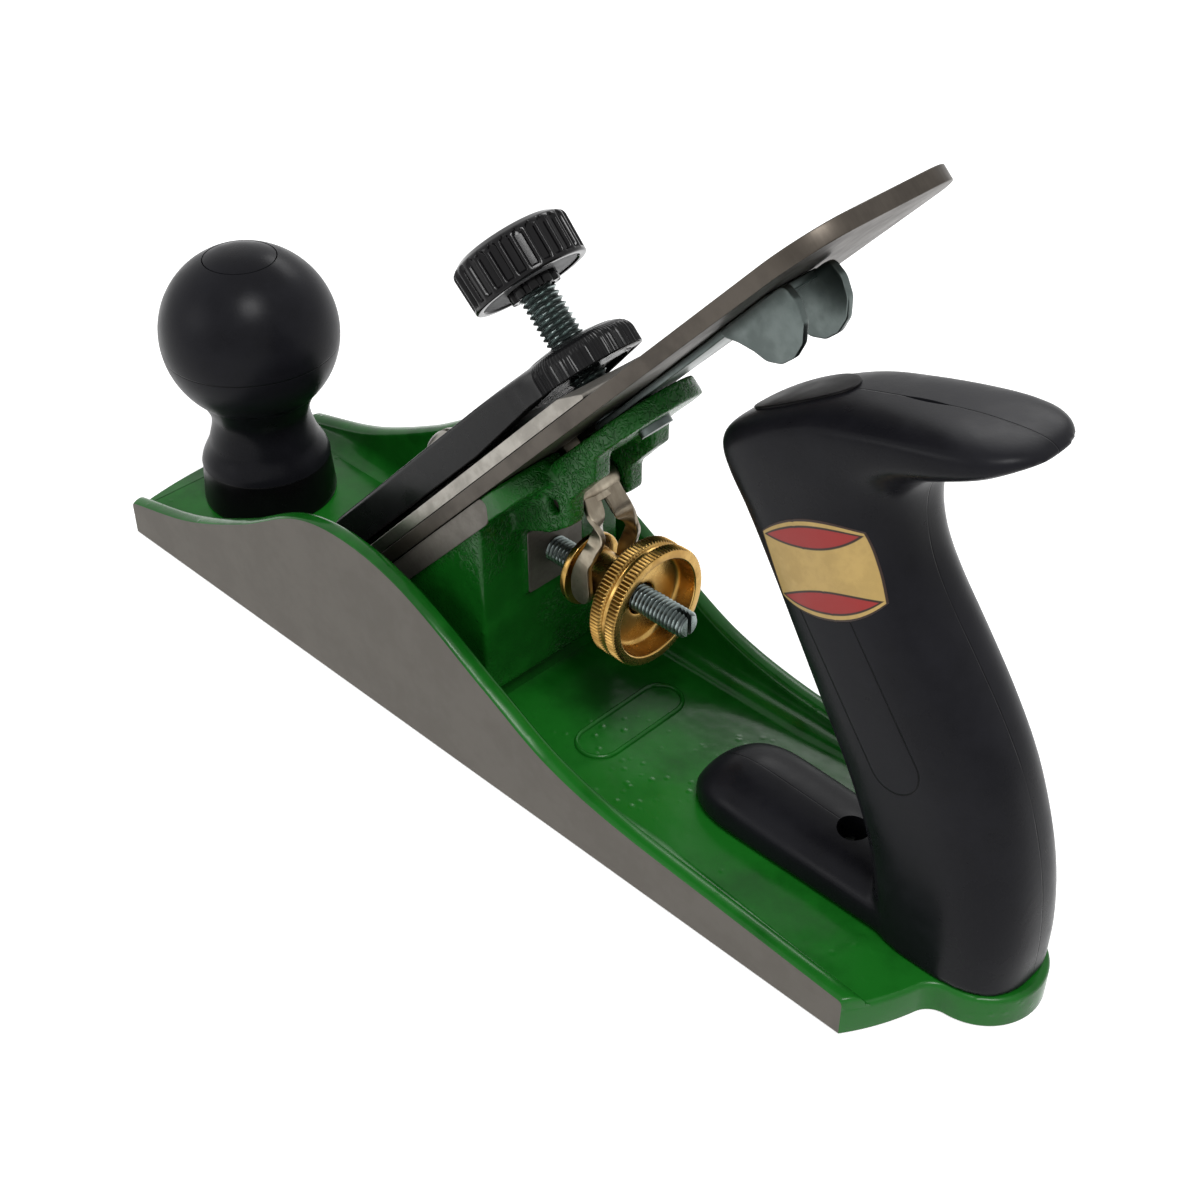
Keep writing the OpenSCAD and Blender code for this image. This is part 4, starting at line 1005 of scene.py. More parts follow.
def build_lateral(sizes, colours):
    """The lateral lever: a flat strip with rolled sides under the iron, and two round ears bent down."""
    zinc = metal("zinc_sheet", colours.ear_zinc, colours.dark_ear_zinc, 0.32, (120.0, 120.0, 120.0), 90.0, 3e-6)
    strip_edge = around([
        (109.6, -5), (158, -5), (167, -5.9), (181, -5.9), (181, 5.9), (167, 5.9), (158, 5), (109.6, 5)
    ], [4.9, 6, 6, 1, 1, 6, 6, 4.9], 8)
    parts = [slab(strip_edge, -1.58, -0.12, 0.3)]
    ear = [(164.2, -0.35), (165.4, -1.9), (167.6, -3.7), (170.0, -6.4), (171.6, -9.0), (174.6, -10.8),
           (178.2, -11.1), (181.8, -10.0), (184.8, -7.4), (186.2, -4.0), (185.6, -0.8), (184.0, -0.35)]
    ear = slab(around(ear, 3.0, 5)[::-1], 4.52, 5.97, 0.28)[..., [0, 2, 1]]
    parts += [ear * [1, side, 1] for side in (-1, 1)]
    lever = lofts("lateral_lever_sheet", [on_bed(swung(p)) for p in parts])
    finish_piece(lever, zinc, "lateral", "zinc_steel", "lateral_lever")
    for node in ("lateral_rivet", "lateral_roller"):
        dress(node, zinc)


# ---- iron and cap iron ----


def build_iron(sizes, colours):
    """Iron and cap iron. The iron is a plate, square at its edge and rounded at its upper corners, and its lower end
    is cut back to the bevel's slope. The cap iron is a sheet that follows the iron, rises in a hump near its edge
    and is ground to a thin lead. The head of the screw that holds the lever cap stands through both."""
    steel = metal("tool_steel", colours.blade, colours.dark_blade, 0.42, (60.0, 1800.0, 60.0), 60.0, 9e-6, 0.9)
    w, end, corner = IRON_W / 2 - 0.02, IRON_L - 0.02, 11.0
    flat = around([(-2.9, -w), (end, -w), (end, w), (-2.9, w)], [0, corner, corner, 0], 16)
    rings = slab(dense(flat, 2.0), 0.03, IRON_T - 0.03, 0.22)
    iron_s0 = (0.15 - IRON_T * math.cos(BED_A)) / math.sin(BED_A)
    bevel = IRON_T / math.tan(math.radians(25))
    floor = iron_s0 + bevel * (1 - np.clip(rings[..., 2] / IRON_T, 0, 1))
    rings[..., 0] = np.maximum(rings[..., 0], floor)
    blade = loft("iron_plate", on_bed(rings), crease=25)
    for opening in (slab(capsule(42, 123.5, 11.4), -2, 6, 0), rod(7.5, -2.5, 6.5, 48, (50, 0))):
        cut(blade, loft("slot", on_bed(opening)), 25)
    finish_piece(blade, steel, "iron", "blade_steel", "iron")

    pale = metal("cap_steel", colours.cap_iron, colours.dark_cap_iron, 0.34, (60.0, 1500.0, 60.0), 110.0, 6e-6)
    t, top = IRON_T, CAP_TOP
    side = around([
        (1.2, t + 0.03), (2.8, t + 1.8), (7.0, LEVER_LO - 0.9), (10.0, LEVER_LO - 0.07), (14.0, LEVER_LO - 0.07),
        (18.0, top + 0.4), (22.0, top), (130.0, top), (136.9, t + 0.9), (136.9, t + 0.04), (21.0, t + 0.04),
        (14.0, LEVER_LO - 2.6), (8.0, LEVER_LO - 2.8), (4.2, t + 0.04),
    ], [0.2, 3, 2, 2, 2, 3, 5, 5, 0.5, 0.3, 5, 2, 2, 3], 6)
    rings = slab(dense(side[::-1], 4.0), -w, w, 0.2)
    cap = loft("cap_iron_sheet", on_bed(rings[..., [0, 2, 1]]), crease=30)
    slots = [slab(capsule(47, 64, 10), t - 1, 14, 0), rod(4.05, t - 1, 14, 40, (78, 0)),
             box_rings((93.4, -2.8, t - 1), (99.6, 2.8, 14), 0)]
    cut(cap, lofts("slots", [on_bed(p) for p in slots]), 30)
    # painted shade over the cap iron's faces, which lie in the lever cap's shadow; only its two side edges keep the
    # steel's own light tone
    mark_painted_shade(cap, lambda p: 0.6 * (np.abs(p[:, 1]) < IRON_W / 2 - 0.1))
    finish_piece(cap, pale, "iron", "cap_steel", "cap_iron")
    dress("cap_iron_screw", pale)
    head = around([(0, -4), (3.0, -4), (3.0, LEVER_HI + 0.5), (4.5, LEVER_HI + 0.5), (4.5, LEVER_HI + 1.4)],
                  [0, 0.3, 0.2, 0.3, 0], 3, closed=False)
    t = np.linspace(0, 1, 12)[1:]
    dome = np.stack([4.5 * np.cos(t * math.pi / 2), LEVER_HI + 1.4 + 2.4 * np.sin(t * math.pi / 2) ** 1.4], -1)
    screw = loft("lever_cap_screw_head", on_bed(turned(np.concatenate([head, dome]), 48, (SCREW_S, 0))))
    slit = box_rings((SCREW_S - 8, -0.55, LEVER_HI + 2.3), (SCREW_S + 8, 0.55, LEVER_HI + 6), 0)
    cut(screw, loft("slot", on_bed(slit)), 30)
    finish_piece(screw, pale, "root", "cap_steel", "lever_cap_screw")


# ---- lever cap and clamp ----


def build_lever_cap(sizes, colours):
    """The lever cap: a shell with tapering sides and a half round end, eased rims, a sloped front, fine upright
    ribs round the end wall, and a keyhole in a raised pad."""
    black = plastic("black_enamel", colours.enamel_black, 0.26, 500.0, 2e-5, 0.14)
    r, front = 12.68, 20.48
    lean = math.asin((front - r) / (CLAMP_S - 10))
    t = np.linspace(-math.pi / 2 + lean, math.pi / 2 - lean, 181)
    end = np.stack([CLAMP_S + r * np.cos(t), r * np.sin(t)], -1)
    outline = dense(np.concatenate([[[10.02, -front + 0.02]], end, [[10.02, front - 0.02]]]), 1.5)
    rings = slab(outline, LEVER_LO + 0.02, LEVER_HI - 0.02, 1.0, 0.35, 7)
    round_end = np.clip((outline[:, 0] - 92) / 20, 0, 1) ** 2
    for k, a in enumerate(np.linspace(0, math.pi / 2, 8)[::-1]):
        edge = 1.0 + 3.0 * round_end
        flat = inward(outline, (edge * (1 - math.sin(a)))[:, None])
        rings[8 + k] = np.column_stack([flat, LEVER_HI - 0.02 - edge * (1 - math.cos(a))])
    s = rings[..., 0]
    share = (rings[..., 2] - LEVER_LO) / (LEVER_HI - LEVER_LO)
    rings[..., 2] += 1.5 * np.clip((s - 88) / 22, 0, 1) * np.clip(1 - share, 0, 1)
    ceiling = np.interp(s, [10, 32], [LEVER_LO + 1.2, LEVER_HI - 0.02])
    rings[..., 2] = np.minimum(rings[..., 2], ceiling)
    angle = np.arctan2(rings[..., 1], s - CLAMP_S)
    at_end = np.clip((s - CLAMP_S + 12) / 8, 0, 1) * (share > 0.04) * np.clip((0.97 - share) / 0.2, 0, 1)
    ribs = 0.5 + 0.5 * np.cos(angle * sizes.end_ribs)
    pull = 0.2 * at_end * (1 - ribs)
    rings[..., 0] -= pull * np.cos(angle)
    rings[..., 1] -= pull * np.sin(angle)
    shell = loft("lever_cap_shell", on_bed(rings), crease=32)
    t = np.linspace(0, 1, 9)
    crown = np.stack([4.05 + 5.6 * t, LEVER_HI - 0.05 + 0.85 * np.cos(t * math.pi / 2) ** 0.8], -1)
    crown = np.concatenate([[[9.6, LEVER_HI - 1.2], [4.05, LEVER_HI - 1.2]], crown])
    crown = ring_loft("lever_cap_crown", on_bed(turned(crown, 96, (CLAMP_S, 0))))
    hollow = dense(inward(outline, 2.6), 3.0)
    hollow[:, 0] = np.maximum(hollow[:, 0], 19.0)
    cut(shell, loft("hollow", on_bed(slab(hollow, LEVER_LO - 3, LEVER_HI - 3.4, 0))), 32)
    pad = loft("lever_cap_pad", on_bed(slab(capsule(38, 70, 20, 24), LEVER_HI - 1, LEVER_HI + 0.35, 0.3, 0)))
    low, high = LEVER_LO + 4.4, LEVER_HI - 0.5
    boss = turned([(4.05, low), (7.9, low), (7.9, high), (4.05, high)], 48, (CLAMP_S, 0))
    boss = ring_loft("lever_cap_boss", on_bed(boss))
    keyhole = [slab(capsule(44, 61.6, 7.2), LEVER_LO - 2, LEVER_HI + 6, 0),
               rod(7.2, LEVER_LO - 2.5, LEVER_HI + 6.5, 48, (47.5, 0))]
    bore = rod(4.05, LEVER_LO - 2.5, LEVER_HI + 6.5, 48, (CLAMP_S, 0))
    for piece, holes in ((shell, [*keyhole, bore]), (pad, keyhole)):
        for hole in holes:
            cut(piece, loft("hole", on_bed(hole)), 32)
    for piece in (shell, pad, boss, crown):
        finish_piece(piece, black, "lever_cap", "black_enamel", "lever_cap")


def build_clamp(sizes, colours):
    """Clamp screw, a coarse thread, and its knob: a cylinder with raised flutes, a rounded top, a sunk flat
    disc below and a notched hub."""
    zinc = metal("zinc_clamp", colours.zinc, colours.dark_zinc, 0.24, patch=150.0)
    screw = thread(3.97, CAP_TOP + 0.06, CLAMP_LO + 5.9, 1.25, 0.78) + [CLAMP_S, 0, 0]
    screw = loft("clamp_thread", on_bed(screw), crease=30)

    def in_groove(p):
        """Depth below the thread's crest."""
        bed = off_bed(p)
        return (3.86 - np.hypot(bed[:, 0] - CLAMP_S, bed[:, 1])) / 0.62

    # painted shade in the thread's groove
    mark_painted_shade(screw, in_groove)
    finish_piece(screw, zinc, "clamp_screw", "zinc_steel", "clamp_screw")

    gloss = plastic("gloss_black", colours.gloss_black, 0.14, 300.0, 6e-6, 0.2)
    r, h = 12.78, 10.58
    path = [(4.05, 0.7), (r - 2.2, 0.7), (r - 1.9, 0.02), (r - 0.35, 0.02), (r - 0.1, h - 1.7), (r - 2.6, h - 0.15),
            (0, h)]
    profile = dense(around(path, [0, 0.15, 0.25, 0.45, 1.6, 3.0, 0], 6, closed=False), 0.5, closed=False)
    profile = np.concatenate([[[0, 8.0], [4.05, 8.0]], profile])
    count = sizes.clamp_flutes

    def flute(angle, radius, height):
        wave = np.cos(angle * count)
        end = h - 1.5 - 0.5 * (1 - wave)
        band = np.clip((height - 0.9) / 0.4, 0, 1) * np.clip((end - height) / 0.6, 0, 1) * (radius > r - 1.6)
        return -0.7 * band * np.clip(wave * 2.2 + 1.35, 0, 1)

    head = turned(profile, count * 12, squeeze=flute)
    star = sizes.hub_lobes

    def lobes(angle, radius, height):
        return -0.75 * (radius > 5) * np.clip(-np.cos(angle * star) * 1.8 - 0.2, 0, 1)

    hub_profile = around([(4.05, -1.85), (5.5, -1.85), (5.5, 0.9), (4.05, 0.9)], [0.1, 0.35, 0, 0], 3)
    place = np.array([CLAMP_S, 0, CLAMP_LO])
    top = loft("clamp_knob_head", on_bed(head + place), crease=40)
    hub = ring_loft("clamp_knob_hub", on_bed(turned(hub_profile, star * 14, squeeze=lobes) + place), 40)
    for piece in (top, hub):
        finish_piece(piece, gloss, "clamp_knob", "gloss_black", "clamp_knob")
    grey = metal("grey_disc", colours.disc_grey, colours.disc_grey, 0.5, metallic=0.3)
    disc = turned(around([(5.4, 0.35), (r - 2.35, 0.35), (r - 2.35, 1.2), (5.4, 1.2)], 0.12, 3), 96)
    disc = ring_loft("clamp_knob_disc", on_bed(disc + place))
    finish_piece(disc, grey, "clamp_knob", "gloss_black", "clamp_knob")


# ---- front knob ----


def build_front_knob(sizes, colours):
    """Front knob: a ball on a waisted stem with a low moulding seam round it, a flush cap and a foot ring."""
    black = handle_plastic(colours)
    r, mid, top = 21.72, 53.0, 18.2
    join = math.radians(-43)
    jr, jz = r * math.cos(join), mid + r * math.sin(join)
    flank = [(top, 16.15), (top + 1.6, 15.65), (top + 6, 13.55), (31, 12.2), (jz - 1.6, jr - 1.5), (jz, jr)]
    z = np.linspace(top, jz, 60)
    stem = np.stack([curve(flank, z), z], -1)
    hole = 8.9
    a = np.linspace(join, math.acos(hole / r), 110)[1:]
    ball = np.stack([r * np.cos(a), mid + r * np.sin(a)], -1)
    rim_z = mid + math.sqrt(r**2 - hole**2)
    bowl = np.array([[hole - 0.12, rim_z - 0.15], [hole - 0.15, rim_z - 2.4], [0, rim_z - 2.4]])
    profile = np.concatenate([[[0, top]], stem, ball, bowl])
    knob = loft("front_knob_ball", turned(profile, 160, (KNOB_X, 0)), crease=34)
    finish_piece(knob, black, "root", "handle_black", "front_knob")

    t = np.linspace(0, 1, 14)
    pr = hole - 0.28
    dome = np.stack([pr * np.sqrt(1 - t**2), mid + np.sqrt(r**2 - pr**2 * (1 - t**2)) - 0.12 * (1 - t)], -1)
    cap = np.concatenate([[[0, rim_z - 2.3], [pr, rim_z - 2.3], [pr, rim_z - 0.45]], dome])
    cap = around(cap, [0, 0.1, 0.3] + [0] * len(dome), 3, closed=False)
    plug = loft("front_knob_cap", turned(cap, 96, (KNOB_X, 0)), crease=50)
    finish_piece(plug, black, "root", "handle_black", "knob_plug")

    foot = around([(9.1, 7.02), (16.6, 7.02), (16.75, 8.2), (16.0, top - 0.03), (3.3, top - 0.03), (3.3, 10.1),
                   (9.1, 10.1)], [0, 0.4, 0.3, 0.5, 0, 0, 0], 4)
    ring = ring_loft("front_knob_ring", turned(dense(foot, 2.0), 128, (KNOB_X, 0)), 34)
    gloss = plastic("ring_black", colours.gloss_black, 0.3, 900.0, 6e-6, 0.12)
    finish_piece(ring, gloss, "root", "handle_black", "knob_ring")


# ---- rear handle ----

HALF_T = 13.0
TOE_SCREW_X = 83.0
LABEL_BARREL = 0.34  # share of the label's height that is lost at its ends
# Stations of the grip's side view: front x and z, rear x and z, and half the thickness
GRIP = [
    (94, FLOOR, 125.6, FLOOR, HALF_T - 0.4), (93, 18, 125.6, 18, HALF_T - 0.4), (89.6, 29, 124.1, 30, HALF_T - 0.6),
    (83.6, 41, 121.2, 41, HALF_T - 0.8), (76.4, 53, 116.8, 52, HALF_T - 0.8), (69.3, 65, 110.8, 62, HALF_T - 0.8),
    (62.2, 77, 103.8, 71.5, HALF_T - 0.8), (55.9, 87, 97.2, 80, HALF_T - 0.8), (51.7, 93, 92.8, 87, HALF_T - 0.6),
    (50.4, 97.3, 90.4, 93.6, HALF_T - 0.3), (53.8, 101.3, 89.8, 99.4, HALF_T),
    (61, 106.5, 91.2, 103.8, HALF_T), (70.2, 111.3, 94.6, 106.7, HALF_T),
    (79.8, 114.2, 98.4, 108.7, HALF_T), (89, 116.4, 102, 110.6, HALF_T - 0.1),
    (97, 118, 105.4, 112.5, HALF_T - 0.7), (103, 118.7, 108, 114.4, HALF_T - 1.9),
    (107.4, 118.9, 109.9, 115.7, HALF_T - 4.2), (110, 118.6, 111.4, 116.6, HALF_T - 7),
    (111.4, 118, 112.1, 117.2, HALF_T - 10),
]
# Stations of the toe: x, height and half the width
TOE_GRIP = [
    (45.9, 8.4, 2.4), (46.6, 11, 4.9), (48.5, 13.8, 7.4), (51.6, 16.2, 9.6), (55.2, 17.4, 10.9),
    (60, 17.8, 11.5), (70, 17.4, 11.5), (82, 16.9, 11.4), (110, 16.8, 11.6),
]


def egg(front, rear, half, n_front, n_rear, a):
    """Point at angle a of a superellipse that stands between a front and a rear point of the side view.

    The powers of the cosine and sine are two over n_front on its front half and two over n_rear behind."""
    c, s = np.cos(a), np.sin(a)
    n = np.where(c < 0, n_front, n_rear)
    u = np.sign(c) * np.abs(c) ** (2 / n)
    v = np.sign(s) * np.abs(s) ** (2 / n)
    mid, arm = (front + rear) / 2, (rear - front) / 2
    return np.stack([mid[..., 0] + arm[..., 0] * u, half * v, mid[..., 1] + arm[..., 1] * u], -1)


def egg_rings(front, rear, half, n_front, n_rear, sides):
    """Rings of such superellipses, one for each front and rear point."""
    a = (np.arange(sides) + 0.5) / sides * 2 * math.pi
    return egg(front[:, None], rear[:, None], half[:, None], n_front, n_rear, a[None, :])


def grip_point(u, a):
    """Point of the grip's skin at station number u and angle a round it."""
    line = glide(GRIP, u.ravel()).reshape(*u.shape, 5)
    return egg(line[..., 0:2], line[..., 2:4], line[..., 4], 3.4, 2.6, a)


def mould_lines(n, place):
    """Mask of the moulding's fine grooves.

    On the rear handle: the middle plane's seam, and the outline of a long round-ended panel on each side, which is
    every point at one distance from a sloping line. On the front knob: one level ring."""
    x, y, z = n.axes(place)

    def hairline(distance, depth=1.0):
        return n.ramp(n.math("ABSOLUTE", distance), depth, 0.0, 0.00006, 0.0002)

    faint = n.ramp(n.noise(place, 90.0, 1.0), 0.15, 0.75, 0.4, 0.6)
    seam = n.times(hairline(y), faint)
    flat = n.add("ShaderNodeCombineXYZ", {0: x, 2: z}).outputs[0]
    start, way, run, half_width, ring_z = (0.0740, 0.0, 0.0827), (0.59, 0.0, -0.8074), 0.040, 0.0054, 0.0502
    arm = n.vector("SUBTRACT", flat, start)
    along = n.vector("DOT_PRODUCT", arm, way, "Value")
    along = n.math("MINIMUM", n.math("MAXIMUM", along, 0.0), run)
    foot = n.add("ShaderNodeVectorMath", {0: way, "Scale": along}, operation="SCALE").outputs[0]
    span = n.vector("DISTANCE", arm, foot, "Value")
    on_flank = n.ramp(n.math("ABSOLUTE", y), 0.0, 1.0, 0.009, 0.0095)
    panel = n.times(hairline(n.less(span, half_width)), on_flank)
    handle = n.times(n.math("MAXIMUM", seam, panel), n.ramp(x, 0.0, 1.0, 0.0, 0.001))
    ring = n.times(hairline(n.less(z, ring_z), 0.9), n.ramp(x, 1.0, 0.0, -0.07, -0.069))
    return n.math("MAXIMUM", handle, ring)


def handle_plastic(colours):
    """Black moulded plastic of both handles, with hairline mould seams."""
    if "moulded_plastic" in bpy.data.materials:
        return bpy.data.materials["moulded_plastic"]
    return plastic("moulded_plastic", colours.handle_black, 0.32, 1500.0, 1.2e-5, 0.08, mould_lines)


def torn_seam():
    """Cutter of the split on the horn's top: a wedge on the middle plane, widest and deepest halfway."""
    middle, reach = 87.2, 5.2
    x = np.linspace(middle - reach, middle + reach, 27)
    gape = 0.4 * (1 - ((x - middle) / reach) ** 2) + 0.01
    skin = np.interp(x, [79.8, 89, 97], [114.2, 116.4, 118])
    left, right = (np.stack([x, way * gape * 2.2, skin + 1.6], -1) for way in (-1, 1))
    return np.stack([left, np.stack([x, 0 * x, skin - 4 * gape], -1), right], 1)


def build_rear_handle(sizes, colours):
    """Rear handle: a skin over shaped rings from the foot up the leaning stem and back along the horn, joined
    to a low rounded toe, remade in even small faces and relaxed so that the two run into each other."""
    black = handle_plastic(colours)
    grip = glide(GRIP, np.linspace(0, len(GRIP) - 1, 150))
    stem = egg_rings(grip[:, 0:2], grip[:, 2:4], grip[:, 4], 3.4, 2.6, 96)
    toe = glide(TOE_GRIP, np.linspace(0, len(TOE_GRIP) - 1, 60))
    low = np.stack([toe[:, 0], np.full(len(toe), FLOOR)], -1)
    nose = egg_rings(toe[:, :2], low, toe[:, 2], 1.85, 9.0, 96)
    handle = lofts("rear_handle_grip", [stem, nose])
    remake(handle, sizes.handle_grain, 10)
    pocket = rod(3.4, 9, 28, 40, (TOE_SCREW_X, 0), 0.6)
    cut(handle, lofts("openings", [pocket, torn_seam()]), 40)
    finish_piece(handle, black, "root", "handle_black", "tote")

    head = around([(0, 8.6), (3.1, 8.6), (3.1, 11), (2.4, 12.2), (0, 12.2)], [0, 0.2, 0.8, 0.6, 0], 4)
    screw = loft("rear_handle_toe_screw", turned(head, 48, (TOE_SCREW_X, 0)))
    slot = box_rings((TOE_SCREW_X - 0.5, -6, 11.2), (TOE_SCREW_X + 0.5, 6, 16), 0)
    cut(screw, loft("slot", slot), 30)
    # painted shade: the screw sunk in the toe's pocket gets only dark tones, so that it reads as shaded there
    finish_piece(screw, metal("dark_screw", colours.dark_zinc, colours.dark_blade, 0.4), "root", "zinc_steel",
                 "tote_toe_screw")

    cap_x, cap_a, cap_b = 63.3, 9.9, 6.8
    q, t = np.meshgrid(np.linspace(0.02, 1, 14), np.arange(64) / 64 * 2 * math.pi, indexing="ij")
    sheet = np.stack([cap_x + cap_a * q * np.cos(t), cap_b * q * np.sin(t), 130.0 + 0 * q], -1)
    quads, ends = skin_faces(*sheet.shape[:2])
    cap = add_mesh("rear_handle_cap", sheet.reshape(-1, 3), [quads, ends[:1]])
    drape(cap, handle, "Z", -1)
    lift(cap, 0.4, 0.5)
    soften(cap, 50)
    duller = plastic("cap_plastic", colours.gloss_black, 0.42, 900.0, 8e-6, 0.08)
    finish_piece(cap, duller, "root", "handle_black", "tote_plug")
    build_label(sizes, colours, handle)


def drape(obj, target, axis, way):
    """Moves each point of obj along one axis onto the target's surface."""
    wrap = obj.modifiers.new("Drape", "SHRINKWRAP")
    wrap.target = target
    wrap.wrap_method = "PROJECT"
    setattr(wrap, "use_project_" + axis.lower(), True)
    wrap.use_positive_direction = way > 0
    wrap.use_negative_direction = way < 0
    bake(obj)


def lift(obj, height, thickness):
    """Thickens a sheet that lies on a surface: it stands height over it, and its lower face is under it."""
    wall = obj.modifiers.new("Wall", "SOLIDIFY")
    wall.thickness = (height + thickness) * MM
    wall.offset = 1.0 - 2.0 * thickness / (height + thickness)
    edge = obj.modifiers.new("Edge", "BEVEL")
    edge.width = 0.15 * MM
    edge.segments = 2
    edge.limit_method = "ANGLE"
    bake(obj)


def build_label(sizes, colours, handle):
    """The label on the near side: a barrel-shaped sheet laid on the grip, gold with two red lenses, no words.

    Its grid is flat at first. Each point's height and its way along the grip's side, measured on the skin from the
    front, pick the station and the angle at which the point lies on the grip; a few steps bring the height right."""
    rows, cols = 49, 65
    u, v = np.meshgrid(np.linspace(-1, 1, cols), np.linspace(-1, 1, rows))
    half_l, half_h = 12.2, 9.7
    lean = math.radians(22.0)
    mid_x, mid_z = 77.9, 83.6
    across, up = half_l * u, half_h * v * (1 - LABEL_BARREL * u**2)
    want_x = mid_x + across * math.cos(lean) - up * math.sin(lean)
    want_z = mid_z + across * math.sin(lean) + up * math.cos(lean)

    stations = np.linspace(0, len(GRIP) - 1, 400)
    levels = glide(GRIP, stations)[:, [1, 3]].mean(1)
    at = np.interp(want_z, levels, stations)
    middle = np.interp(mid_z, levels, stations)
    angles = np.linspace(math.pi, 2 * math.pi, 400)
    side = grip_point(np.full(400, middle), angles)
    way = np.concatenate([[0], np.cumsum(np.linalg.norm(np.diff(side, axis=0), axis=1))])
    lost = np.interp(mid_x, side[:, 0], way) - (mid_x - side[0, 0])
    for _ in range(6):
        front = glide(GRIP, at.ravel())[:, 0].reshape(at.shape)
        angle = np.interp(want_x - front + lost, way, angles)
        spot = grip_point(at, angle)
        at = np.clip(at + (want_z - spot[..., 2]) / 9.5, 0, len(GRIP) - 1.01)
    i, k = np.meshgrid(np.arange(rows - 1), np.arange(cols - 1), indexing="ij")
    quads = np.stack([i * cols + k, i * cols + k + 1, (i + 1) * cols + k + 1, (i + 1) * cols + k], -1).reshape(-1, 4)
    label = add_mesh("rear_handle_label", spot.reshape(-1, 3), [quads])
    uv = label.data.attributes.new("label_place", "FLOAT2", "POINT")
    uv.data.foreach_set("vector", np.stack([u, v * (1 - LABEL_BARREL * u**2)], -1).astype(np.float32).ravel())
    _, normal = face_data(label)
    if normal[:, 1].mean() > 0:
        label.data.flip_normals()
    wrap = label.modifiers.new("Wrap", "SHRINKWRAP")
    wrap.target = handle
    wrap.wrap_method = "NEAREST_SURFACEPOINT"
    bake(label)
    lift(label, 0.1, 0.2)
    soften(label, 50)
    finish_piece(label, label_print(colours), "root", "handle_black")


def label_print(colours):
    """Printed foil: a dark rim line, a gold border, red lenses above and below a gold band with thin dark lines."""
    mat, n, s, place = shader("label_print")
    x, y, _ = n.axes(n.stored("label_place", "Vector"))
    x2 = n.times(x, x)
    high = n.math("ABSOLUTE", y)
    tall = n.math("DIVIDE", high, n.less(1.0, n.times(x2, LABEL_BARREL)))
    wide = n.math("ABSOLUTE", x)
    rim = n.math("MAXIMUM", n.ramp(tall, 0.0, 1.0, 0.945, 0.955), n.ramp(wide, 0.0, 1.0, 0.955, 0.965))
    arch = n.plus(0.42, n.times(x2, 0.24))
    inside = n.math("MINIMUM", n.less(0.85, tall), n.less(high, arch))
    red = n.ramp(inside, 0.0, 1.0, 0.0, 0.012)
    hair = n.ramp(n.math("ABSOLUTE", inside), 1.0, 0.0, 0.014, 0.03)
    dark = n.math("MAXIMUM", hair, rim)
    patches = use(n, mottle_group(), Vector=place, Scale=160.0)
    gold = n.mix(patches, colours.label_gold, dim(colours.label_gold, 0.86))
    base = n.mix(red, gold, colours.label_red)
    colour = n.mix(dark, base, (0.03, 0.016, 0.012))
    dress_surface(n, s, colour, n.ramp(patches, 0.34, 0.44), patches, 4e-6, specular=0.25)
    return mat


def build_fasteners(sizes, colours):
    """Finishes for the screws, nuts and studs that keep their solids."""
    zinc = metal("zinc_screw", colours.zinc, colours.dark_zinc, 0.3, patch=150.0)
    brass = metal("nut_brass", colours.brass, colours.dark_brass, 0.3, patch=120.0)
    for node in ("frog_screws", "frog_washers", "knob_stud", "tote_stud"):
        dress(node, zinc)
    for node in ("knob_nut", "tote_nut"):
        dress(node, brass)


# ---- stage ----


def background_ray(n):
    """One for the rays that see the white background: from the camera, off gloss and through glass."""
    path = n.add("ShaderNodeLightPath").outputs
    bounced = n.math("MAXIMUM", path["Is Glossy Ray"], path["Is Transmission Ray"])
    return n.math("MAXIMUM", path["Is Camera Ray"], bounced)


